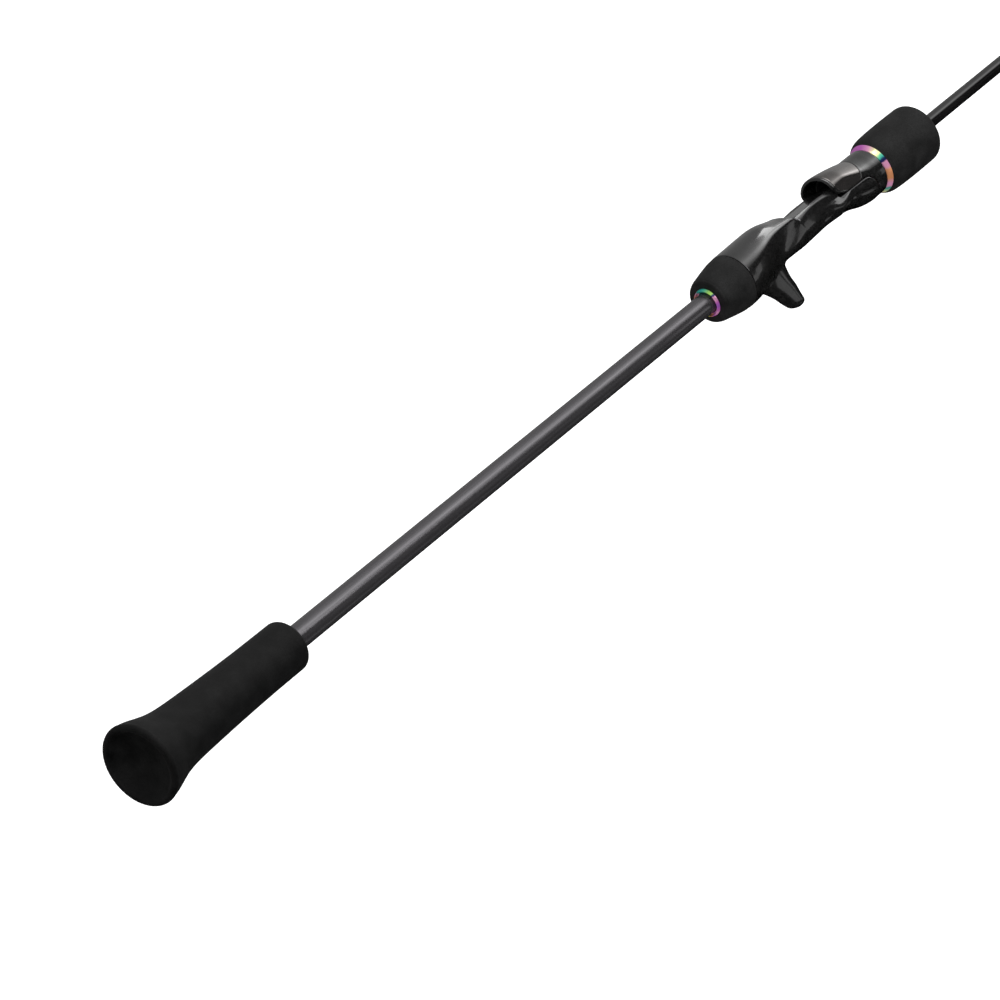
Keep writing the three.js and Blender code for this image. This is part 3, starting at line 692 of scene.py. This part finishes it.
swell_width = along([(-62, 14.7), (-56, 14.55), (-50, 14), (-44, 13.1), (-38, 11.9), (-32, 10.7),
                     (-26, 9.7), (-20, 9), (-12, 8.3)])
swell_level = along([(-62, 0.8), (-55, 1.9), (-47, 3.4), (-40, 5), (-33.5, 6.2), (-24, 7), (-12, 7)])
swell_top = along([(-62, 14.65), (-50, 14.85), (-42, 15), (-35, 14.95), (-30, 14.3), (-26, 13.3),
                   (-22, 12.3), (-17, 11.5), (-12, 11)])
swell_bottom = along([(-62, -14.7), (-56, -14.4), (-50, -13.6), (-42, -11.2), (-35, -9), (-30, -8.3),
                      (-24, -8), (-12, -8)])
waist_width = along([(-40, 8.6), (-20, 8.4), (0, 8.1), (12, 8.5), (20, 9.6)])
waist_level = along([(-40, -1.5), (-18, -1), (-10, 2.8), (-3, 5), (5, 5.2), (12, 4), (20, 2)])
waist_bottom = along([(-40, -8.2), (-26, -7.9), (-10, -8.3), (0, -7.9), (8, -7.4), (20, -7.8)])
shell_width = along([(0, 6.6), (6, 7.9), (11, 8.6), (16, 9.8), (21, 11.3), (26, 11.9), (33, 12),
                     (50, 12)])
shell_bottom = along([(0, -6.4), (6, -7.1), (14, -7.5), (21, -7.9), (27, -9.1), (33, -11), (38, -11.9),
                      (50, -12)])
shell_level = along([(0, 3), (6, 1), (12, -1), (16, -2.6), (19.5, -1.6), (23, 0.3), (30, 0)])
lip_edge = along([(-18, -11.2), (-4, -11.2), (2, -11.8), (6, -13), (9.5, -16.8), (12, -19), (20, LIP_X)])
trigger_x = along([(-32, -32), (-30, -32.3), (-28, -33.3), (-24, -34.8), (-20, -35.9), (-15, -38.2),
                   (-10, -40.6), (-4, -43)])
trigger_length = along([(-32, 3.4), (-30, 4), (-28, 5), (-24, 6.3), (-20, 7.5), (-15, 9.2),
                        (-10, 11.9), (-4, 15)])
trigger_width = along([(-32, 2.4), (-30, 2.7), (-28, 3.1), (-24, 3.6), (-20, 3.9), (-15, 4.4),
                       (-10, 5.4), (-4, 7)])
TRIGGER_TIP = -30.2


def ear(x, z, grow=0.0):
    """The side outline of the lower shell that the hood slides on, with its rounded nose."""
    across = np.maximum(x - EAR_SHOULDER, 0) / (EAR_TOE - EAR_SHOULDER)
    up = np.maximum(z - (EAR_TOP - EAR_DROP), 0) / EAR_DROP
    q = (across**2.6 + up**2.6) ** (1 / 2.6)
    scale = np.where(across > 0, EAR_TOE - EAR_SHOULDER, EAR_DROP)
    return (q - 1) * scale - grow


def trigger(x, y, z):
    """A curved blade with a rounded front, which hangs below the palm swell."""
    half = trigger_length(z)
    offset = (x - trigger_x(z)) / half
    width = trigger_width(z) * (1 - 0.16 * np.clip(-offset, -1, 1))
    q = (np.abs(offset) ** 2.3 + np.abs(y / width) ** 2.3 + 1e-9) ** (1 / 2.3)
    blade = (q - 1) * np.minimum(width, half) * 0.9
    return np.maximum(soft_max(blade, TRIGGER_TIP - z, 3.0), z + 3)


def seat(x, y, z):
    swell = section(y, z, swell_width(x), swell_top(x), swell_bottom(x), level=swell_level(x))
    swell = soft_max(swell, x - lip_edge(z), 1.2)
    waist = section(y, z, waist_width(x), 9.0, waist_bottom(x), level=waist_level(x), power=2.4)
    waist = np.maximum(waist, between(x, -40, 17))
    side = DECK + (np.abs(y) - DECK_HALF_WIDTH) * DECK_SIDE_SLOPE
    channel = np.maximum(np.maximum(DECK - z, side - z), LIP_X - 2 - x)
    waist = cut(waist, channel, 1.0)
    body = soft_min(waist, swell, 1.5)
    arch = section(y, z, POCKET_HALF_WIDTH, POCKET_CEILING, 0, level=DECK - SEAM - 2, power=3)
    pocket = between(x, LIP_X - POCKET_DEPTH, LIP_X + POCKET_MOUTH)
    arch = np.maximum(np.maximum(arch, DECK - SEAM - z), pocket)
    body = cut(body, np.maximum(arch, x - lip_edge(z) - 1), 0.4)
    tongue = np.maximum(
        between(y, -POCKET_HALF_WIDTH, POCKET_HALF_WIDTH), between(z, -4, DECK - SEAM)
    )
    body = np.minimum(body, np.maximum(tongue, between(x, 12, DECK_END)))
    shell = section(y, z, shell_width(x), 6.0, shell_bottom(x), level=shell_level(x))
    shell = soft_max(shell, ear(x, z), 0.5)
    shell = np.maximum(shell, 1 - x)
    body = soft_min(body, shell, 1.0)
    body = soft_min(body, trigger(x, y, z), 1.6)
    body = soft_max(body, SEAT_REAR - x, 0.5)
    barrel = np.maximum(tube(y, z, BARREL_RADIUS), between(x, BARREL_REAR, THREAD_START))
    body = np.minimum(body, barrel)
    body = np.maximum(body, -np.maximum(tube(y, z, TUBE_BORE), x - TUBE_BORE_END))
    return np.maximum(body, -tube(y, z, BLANK_BORE))


def add_seat():
    pitch = 0.3
    margin = 0.8
    low = (SEAT_REAR - margin, -SWELL_RADIUS - margin - 0.3, TRIGGER_TIP - margin)
    high = (THREAD_START + margin, SWELL_RADIUS + margin + 0.3, 16)
    points, faces = field_mesh(seat, low, high, pitch)
    add_mesh("reel_seat_body", points, faces, SEAT_BLACK, "root", "seat_black", ["seat_body"])


def ridge(start, end, lead, root, crest, steps=48):
    """A right-hand screw ridge: a closed bar whose foot is sunk a little below the root."""
    count = int((end - start) / lead * steps)
    turns = np.arange(count + 1) / steps
    rise = np.clip(np.minimum(turns, turns[::-1]) * 3, 0.05, 1)
    angle = 2 * math.pi * turns
    rows = []
    for shift, height in ((0, 0), (0.4, 1), (0.7, 1), (0.95, 0)):
        radius = root - 0.1 + (crest - root + 0.1) * rise * height
        x = start + lead * (turns + shift * 0.9)
        rows.append(np.stack([x, -radius * np.sin(angle), radius * np.cos(angle)], axis=1))
    points = np.stack(rows, axis=1).reshape(-1, 3)
    faces = [(0, 1, 2, 3), tuple(4 * count + k for k in (3, 2, 1, 0))]
    for i in range(count):
        for k in range(4):
            a, b = 4 * i + k, 4 * i + (k + 1) % 4
            faces.append((a, b, b + 4, a + 4))
    return facing_out(points, faces)


def add_barrel():
    """The threaded barrel that the locking nut runs on, inside the foregrip."""
    rear, lead, crest, edge = THREAD_START, 3.0, 9.15, 0.4
    core = [[rear, BLANK_BORE], [rear, BARREL_RADIUS], [BARREL_END - edge, BARREL_RADIUS],
            [BARREL_END, BARREL_RADIUS - edge], [BARREL_END, BLANK_BORE]]
    thread = ridge(rear + 0.3, BARREL_END - lead - 0.5, lead, BARREL_RADIUS, crest)
    points, faces = merged([lathe(core, 96), thread])
    add_mesh("reel_seat_barrel", points, faces, SEAT_BLACK, "root", "seat_black", smooth_angle=35)


add_seat()
add_barrel()

# ---- The sliding hood ----
PANEL_SEAM = 37.0
CROWN = 15.4
NECK_REAR, NECK_BORE, HOOD_BORE = 45.1, 10.9, 9.5
CAVITY_END, HOOD_WALL = 38.5, 1.9
PANEL_THICKNESS, PANEL_BED, PANEL_GAP = 0.85, 0.97, 0.11  # the bed is a little deeper
hood_level = along([(10, 6.4), (15, 6.6), (19, 7), (23, 7.2), (27.5, 5.9), (32, 4.1), (37, 2.2),
                    (42, 0.5), (46, 0)])
hood_radius = along([(10, HOOD_RADIUS), (40, HOOD_RADIUS), (45, 12), (HOOD_FRONT, 11.85), (55, 11.8)])
panel_front = along([(-2, 32.2), (2, 32.8), (4, 33.8), (8, 35.6), (12, PANEL_SEAM),
                     (16, PANEL_SEAM + 0.4)])
mouth_edge = along([(-1, HOOD_REAR + 9), (1.6, HOOD_REAR + 6.6), (3, HOOD_REAR + 2.8),
                    (5, HOOD_REAR + 0.9), (8, HOOD_REAR), (12, HOOD_REAR + 0.3), (16, HOOD_REAR + 0.8)])


def hood_form(x, y, z, inset=0.0):
    """The hood's outer form, or one that lies inset millimetres under it."""
    t = np.clip((x - HOOD_REAR) / (PANEL_SEAM - HOOD_REAR), 0, 1) ** 1.5
    radius = hood_radius(x)
    top = CROWN + (radius - CROWN) * t - inset
    return section(y, z, radius - inset, top, inset - radius, level=hood_level(x))


def panel_outline(x, z, grow):
    """Where the grey panel lies, as seen from the side."""
    rear = mouth_edge(z - 0.5) + 1.3 - x
    return np.maximum(np.maximum(rear, x - panel_front(z)), 1.0 - z) - grow


def hood_panel(x, y, z):
    skin = soft_max(hood_form(x, y, z), -hood_form(x, y, z, PANEL_THICKNESS), 0.2)
    skin = cut(skin, ear(x, z, SEAM), 0.35)
    return soft_max(skin, panel_outline(x, z, -PANEL_GAP), 0.35)


def hood_shell(x, y, z):
    body = soft_max(hood_form(x, y, z), x - HOOD_FRONT, 0.6)
    body = soft_max(body, mouth_edge(z) - x, 0.8)
    cavity = np.maximum(hood_form(x, y, z, HOOD_WALL), x - CAVITY_END)
    body = cut(body, cavity, 0.6)
    body = cut(body, ear(x, z, SEAM), 0.35)
    recess = np.maximum(panel_outline(x, z, PANEL_GAP), -hood_form(x, y, z, PANEL_BED))
    body = cut(body, recess, 0.3)
    body = np.maximum(body, -np.maximum(tube(y, z, HOOD_BORE), CAVITY_END - 1 - x))
    body = cut(body, np.maximum(tube(y, z, NECK_BORE), NECK_REAR - SEAM - x), 0.3)
    return body


def add_hood():
    pitch = 0.22
    margin = 0.6
    low = (HOOD_REAR - margin, -HOOD_RADIUS - margin, -HOOD_RADIUS - margin)
    high = (HOOD_FRONT + margin, HOOD_RADIUS + margin, CROWN + margin)
    points, faces = field_mesh(hood_shell, low, high, pitch)
    add_mesh("hood_shell_gloss", points, faces, SEAT_BLACK, "hood", "seat_black", ["hood_frame"])
    low = (HOOD_REAR - margin, -HOOD_RADIUS - margin, 0)
    high = (PANEL_SEAM + 1.5, HOOD_RADIUS + margin, CROWN + margin)
    points, faces = field_mesh(hood_panel, low, high, pitch)
    add_mesh("hood_panel_gunmetal", points, faces, GUNMETAL, "hood", "hood_gunmetal", ["hood_cover"])


add_hood()


# ---- CAD nodes whose shape is right keep it, with a better finish ----
def restyle(material, *names):
    for name in names:
        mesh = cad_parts[name].data
        mesh.materials.clear()
        mesh.materials.append(material)


restyle(NYLON, "ferrule_bush", "rear_arbor", "front_arbor", "lock_nut")
restyle(CUSHION, "hood_cushion")
restyle(STEEL, "hood_clip")

# ---- Guides and tip-top ----
# Each guide's ring size and its number of feet, from the handle to the tip.
GUIDES = [(12, 2), (10, 2), (8, 2), (7, 1), (6, 1), (6, 1), (5.5, 1), (5.5, 1), (5.5, 1)]
GUIDE_TILT = 12  # degrees, rings lean towards the tip
BAND_WALL, BAND_WIDTH, BOND = 0.63, 1.08, 0.06
RING_HALF_WIDTH, RING_EDGE = 0.62, 0.1
FOOT_HEEL, FOOT_TAPER = 0.48, 0.24  # half a foot's thickness at its heel, and what its toe loses


def tilted(shell, x, height, tilt=GUIDE_TILT):
    """A shell made about the X axis, leant forwards and lifted over the blank."""
    points, faces = shell
    lean = math.radians(tilt)
    turned = np.array(points)
    turned[:, 0] = points[:, 0] * math.cos(lean) + points[:, 2] * math.sin(lean) + x
    turned[:, 2] = points[:, 2] * math.cos(lean) - points[:, 0] * math.sin(lean) + height
    return turned, faces


def ceramic_ring(size):
    outer = size / 2 - 0.03
    inner = size / 2 - 0.3 - 0.06 * size
    mid, half = (outer + inner) / 2, (outer - inner) / 2
    side, shoulder = RING_HALF_WIDTH, RING_HALF_WIDTH - RING_EDGE
    outside = [[side, outer - RING_EDGE], [shoulder, outer], [-shoulder, outer],
               [-side, outer - RING_EDGE]]
    inside = [[side * math.cos(a), mid + RING_EDGE + (half + RING_EDGE) * math.sin(a)]
              for a in np.radians(np.linspace(180, 360, 13))]
    return lathe(outside + inside, 56)


def steel_band(size):
    inner = size / 2 + BOND
    outer, half, edge = inner + BAND_WALL, BAND_WIDTH / 2, 0.16
    corners = [[half - edge, outer], [-half + edge, outer], [-half, outer - edge],
               [-half, inner + edge], [-half + edge, inner], [half - edge, inner],
               [half, inner + edge], [half, outer - edge]]
    return lathe(corners, 56)


def steel_foot(heel, direction, length, radius):
    """A foot that tapers from its heel to its toe along the top of the blank."""
    share = np.linspace(0, 1, 15)
    round_off = np.sqrt(np.clip(1 - np.abs(2 * share - 1) ** 8, 0.06, 1))
    thickness = FOOT_HEEL - FOOT_TAPER * share
    half_height = thickness * round_off
    half_width = (min(1.2, radius * 0.7 + 0.25) * (1 - 0.35 * share)) * round_off
    x = heel + direction * length * share
    path = np.stack([x, 0 * x, radius - BOND + thickness], axis=1)
    return sweep(path, np.stack([half_height, half_width], axis=1))


def thread_wrap(x0, x1, bore, thick, hump, thin_end):
    """Lacquered thread over a foot: a sleeve with tapered ends and a hump along its top."""
    long_ramp, short_ramp = 2.2, 0.7
    xs = np.linspace(x0, x1, 30)
    from_low = np.clip((xs - x0) / (long_ramp if thin_end < 0 else short_ramp), 0, 1)
    from_high = np.clip((x1 - xs) / (long_ramp if thin_end > 0 else short_ramp), 0, 1)
    fade = np.sin(np.minimum(from_low, from_high) * math.pi / 2)
    outline = [[x, bore + 0.12 + thick * f] for x, f in zip(xs, fade)]
    points, faces = lathe(outline + [[x1, bore], [x0, bore]], 40)
    lift = np.interp(points[:, 0], xs, fade) * hump
    out = np.hypot(points[:, 1], points[:, 2])
    up = np.clip(points[:, 2] / out, 0, 1) ** 3
    points[:, 2] += np.where(out > bore + 0.05, lift * up, 0)
    return points, faces


def add_guide(index, size, feet):
    name = f"guide_{index}"
    x, _, height = middle(name + "_ring")
    height -= AXIS_Z
    length = 6 + 0.75 * size
    radius = blank_radius(x - length - 10) + 0.04
    heel = 0.3 * height
    reach_out = size / 2 + BOND + BAND_WALL / 2
    lean = math.radians(GUIDE_TILT)

    def on_band(degrees):
        down = reach_out * math.cos(math.radians(degrees))
        across = reach_out * math.sin(math.radians(degrees))
        return x - down * math.sin(lean), across, height - down * math.cos(lean)

    def leg(start, end, half_height, half_width):
        path = bend(start, ((start[0] * 2 + end[0]) / 3, end[1] * 0.75, radius + 1.1), end)
        return sweep(path, [(half_height, half_width)] * len(path), 12)

    shells = [tilted(steel_band(size), x, height), steel_foot(x - heel, -1, length, radius)]
    for side in (-1, 1):
        start = (x - heel - 0.8, side * 0.45, radius + 0.4)
        shells.append(leg(start, on_band(side * 50), 0.5, 0.38))
    wraps = [("rear", -1)]
    if feet == 2:
        shells.append(steel_foot(x + heel, 1, length, radius))
        shells.append(leg((x + heel + 0.8, 0, radius + 0.4), on_band(0), 0.42, 0.7))
        wraps.append(("front", 1))
    add_mesh(f"{name}_frame_steel", *merged(shells), FRAME_METAL, "root", "guide_frame_metal",
             [f"{name}_frame"], 40)
    add_mesh(f"{name}_ring_ceramic", *tilted(ceramic_ring(size), x, height), CERAMIC, "root",
             "guide_ceramic", [f"{name}_ring"], 50)
    for end, way in wraps:
        near, far = x + way * (heel + 1.4), x + way * (heel + length + 4)
        shell = thread_wrap(min(near, far), max(near, far), radius + BOND, 0.45, 0.75, way)
        add_mesh(f"{name}_wrap_{end}_thread", *shell, THREAD, "root", "thread_wrap",
                 [f"{name}_wrap_{end}"], 50)


def add_tip_top():
    ring_x, _, height = middle("tip_top_ring")
    height -= AXIS_Z
    size, wall, tube_rear = 5.5, 0.45, BLANK_FRONT - 9
    bore = blank_radius(tube_rear) + BOND + 0.05
    outer, front = bore + wall, BLANK_FRONT + 0.9
    tube_shape = [[BLANK_FRONT + 0.2, 0], [BLANK_FRONT + 0.2, bore], [tube_rear, bore],
                  [tube_rear, outer - 0.15], [tube_rear + 0.15, outer], [front - 0.35, outer],
                  [front - 0.1, outer - 0.12], [front, outer - 0.4], [front, 0]]
    reach_out = size / 2 + BOND + BAND_WALL / 2
    shells = [lathe(tube_shape, 40), tilted(steel_band(size), ring_x, height, 0)]
    for side in (-1, 1):
        start = (tube_rear + 4.6, side * 0.7, bore + 0.1)
        end = (ring_x, side * reach_out * 0.8, height - reach_out * 0.6)
        path = bend(start, (ring_x - 2.5, side * 1.1, bore + 1.0), end)
        shells.append(sweep(path, [(0.36, 0.34)] * len(path), 12))
    path = bend((BLANK_FRONT, 0, 0.6), (ring_x - 0.3, 0, 1.0), (ring_x, 0, height - reach_out), 6)
    shells.append(sweep(path, [(0.36, 0.55)] * len(path), 12))
    add_mesh("tip_top_frame_steel", *merged(shells), FRAME_METAL, "root", "guide_frame_metal",
             ["tip_top_frame"], 40)
    add_mesh("tip_top_ring_ceramic", *tilted(ceramic_ring(size), ring_x, height, 0), CERAMIC, "root",
             "guide_ceramic", ["tip_top_ring"], 50)
    wrap_rear, wrap_front = span("tip_top_wrap")
    shell = thread_wrap(wrap_rear, wrap_front, blank_radius(wrap_rear) + BOND, 0.35, 0.0, -1)
    add_mesh("tip_top_wrap_thread", *shell, THREAD, "root", "thread_wrap", ["tip_top_wrap"], 50)


for index, (size, feet) in enumerate(GUIDES, 1):
    add_guide(index, size, feet)
add_tip_top()

# ---- Floor, light and camera ----
def stage_sheet(name, points, faces, material):
    """A sheet that isn't part of the rod: the floor, or a card of light."""
    mesh = bpy.data.meshes.new(name)
    mesh.from_pydata(points, [], faces)
    mesh.materials.append(material)
    sheet = bpy.data.objects.new(name, mesh)
    scene.collection.objects.link(sheet)
    return sheet


def add_floor():
    size, drop = 30.0, 0.5
    corners = [(-size, -size, -drop), (size, -size, -drop), (size, size, -drop), (-size, size, -drop)]
    material, _, shader = new_material("floor_white", Roughness=1.0)
    shader.inputs["Base Color"].default_value = (0.9, 0.9, 0.9, 1)
    shader.inputs["Specular IOR Level"].default_value = 0.0
    shader.inputs["Emission Color"].default_value = (1, 1, 1, 1)
    shader.inputs["Emission Strength"].default_value = 0.75
    floor = stage_sheet("floor", corners, [(0, 1, 2, 3)], material)
    floor.visible_glossy = False
    floor.visible_diffuse = False
    floor.visible_shadow = False


# The tent is half a tube of lit cloth over the rod: its radiance against the angle about the rod,
# from +Y toward +Z, in degrees. It stops just above the camera, so black gloss goes dark there.
TENT_RADIUS, TENT_REAR, TENT_FRONT = 2.0, -3.0, 4.8
TENT_GLOW = [(-13, 0.14), (10, 0.27), (25, 0.28), (60, 0.34), (90, 0.48), (112, 0.7), (126, 1.05),
             (140, 1.95), (150, 1.6), (160, 0.7), (167, 0.3)]
TENT_RISE, TENT_RISE_GAIN = (1.9, 3.2), 2.5  # where it brightens along X, and how much


def add_light_tent():
    first, last = TENT_GLOW[0][0], TENT_GLOW[-1][0]
    steps = 60
    points, faces = [], []
    for turn in np.radians(np.linspace(first, last, steps + 1)):
        y, z = TENT_RADIUS * math.cos(turn), TENT_RADIUS * math.sin(turn)
        points += [(TENT_REAR, y, z), (TENT_FRONT, y, z)]
    for k in range(steps):
        faces.append((2 * k, 2 * k + 1, 2 * k + 3, 2 * k + 2))
    material = bpy.data.materials.new("light_tent")
    material.use_nodes = True
    tree = material.node_tree
    tree.nodes.clear()
    parts = node(tree, "SeparateXYZ")
    tree.links.new(node(tree, "TexCoord").outputs["Object"], parts.inputs["Vector"])
    turned = node(tree, "Math", operation="ARCTAN2")  # from -Y, so that no step falls on the cloth
    back = node(tree, "Math", operation="MULTIPLY")
    back.inputs[1].default_value = -1
    tree.links.new(parts.outputs["Y"], back.inputs[0])
    tree.links.new(back.outputs[0], turned.inputs[1])
    tree.links.new(parts.outputs["Z"], turned.inputs[0])
    share = node(tree, "MapRange")
    share.inputs["From Min"].default_value = math.radians(180 - first)
    share.inputs["From Max"].default_value = math.radians(180 - last)
    tree.links.new(turned.outputs[0], share.inputs["Value"])
    peak = max(glow for _, glow in TENT_GLOW)
    stops = [((at - first) / (last - first), grey(glow / peak)) for at, glow in TENT_GLOW]
    emission = node(tree, "Emission")
    tree.links.new(ramp(tree, share.outputs["Result"], stops), emission.inputs["Color"])
    rise = node(tree, "MapRange")
    rise.inputs["From Min"].default_value = TENT_RISE[0]
    rise.inputs["From Max"].default_value = TENT_RISE[1]
    rise.inputs["To Min"].default_value = peak
    rise.inputs["To Max"].default_value = peak * TENT_RISE_GAIN
    tree.links.new(parts.outputs["X"], rise.inputs["Value"])
    tree.links.new(rise.outputs["Result"], emission.inputs["Strength"])
    tree.links.new(emission.outputs[0], node(tree, "OutputMaterial").inputs["Surface"])
    tent = stage_sheet("light_tent", points, faces, material)
    tent.visible_camera = False
    tent.visible_shadow = False
    tent.visible_transmission = False


def seen_corners(x_range, turn_range, distance=6.0, centre=(0, 0, 0)):
    """A card's corners: its span as seen from a centre on the rod, in the direction's X share and
    in its angle about the rod, in degrees."""
    corners = []
    for share, turn in zip((0, 0, 1, 1), (0, 1, 1, 0)):
        x, angle = x_range[share], math.radians(turn_range[turn])
        off = math.sqrt(1 - x * x)
        toward = Vector((x, off * math.cos(angle), off * math.sin(angle)))
        corners.append(Vector(centre) + toward * distance)
    return corners


def level_corners(centre, size, turn):
    """A level card's corners, in metres: its middle, its length and width and the way it points."""
    along_card = Matrix.Rotation(math.radians(turn), 3, "Z")
    return [
        Vector(centre) + along_card @ Vector((size[0] * u / 2, size[1] * v / 2, 0))
        for u, v in ((-1, -1), (1, -1), (1, 1), (-1, 1))
    ]


def add_card(name, corners, glow):
    material = bpy.data.materials.new(name)
    material.use_nodes = True
    tree = material.node_tree
    tree.nodes.clear()
    emission = node(tree, "Emission", Strength=glow)
    tree.links.new(emission.outputs[0], node(tree, "OutputMaterial").inputs["Surface"])
    card = stage_sheet(name, corners, [(0, 1, 2, 3)], material)
    card.visible_camera = False
    card.visible_diffuse = False
    card.visible_shadow = False
    card.visible_transmission = False


def add_world():
    world = bpy.data.worlds.new("studio")
    scene.world = world
    world.use_nodes = True
    back = world.node_tree.nodes["Background"]
    back.inputs["Color"].default_value = (1, 1, 1, 1)
    back.inputs["Strength"].default_value = 0.75
    world.cycles_visibility.glossy = False


PIXELS_PER_METRE = 2100.0  # scale of the 1000-pixel picture at the rod
LENS, SENSOR = 1500.0, 36.0


def add_camera():
    right = Vector((0.592, -0.626, -0.507)).normalized()
    back = Vector((-0.645, -0.745, 0.168)).normalized()
    up = back.cross(right).normalized()
    right = up.cross(back)
    target = Vector((-0.2609, -0.0023, -0.0171))
    distance = LENS / SENSOR * 1000 / PIXELS_PER_METRE
    data = bpy.data.cameras.new("camera")
    data.lens, data.sensor_width = LENS, SENSOR
    data.clip_start, data.clip_end = 0.1, 100
    camera = bpy.data.objects.new("camera", data)
    scene.collection.objects.link(camera)
    turn = Matrix((right, up, back)).transposed().to_4x4()
    camera.matrix_world = Matrix.Translation(target + back * distance) @ turn
    scene.camera = camera


add_floor()
add_world()
add_light_tent()
add_card("card_swell_crest", level_corners((0.015, -0.0216, 0.038), (0.046, 0.02), 135), 5.0)
add_card("card_waist", seen_corners((0.69, 0.785), (196.5, 222)), 0.7)
add_card("card_trigger", seen_corners((0.3, 0.66), (194, 216), 0.12, (-0.04, -0.004, -0.027)), 0.6)
add_card("card_ear", seen_corners((0.5, 0.61), (247, 259)), 0.5)
add_card("card_hood_mouth", seen_corners((-0.05, 0.45), (159, 177), 1.6), 3.0)
add_camera()
scene.view_settings.view_transform = "Standard"
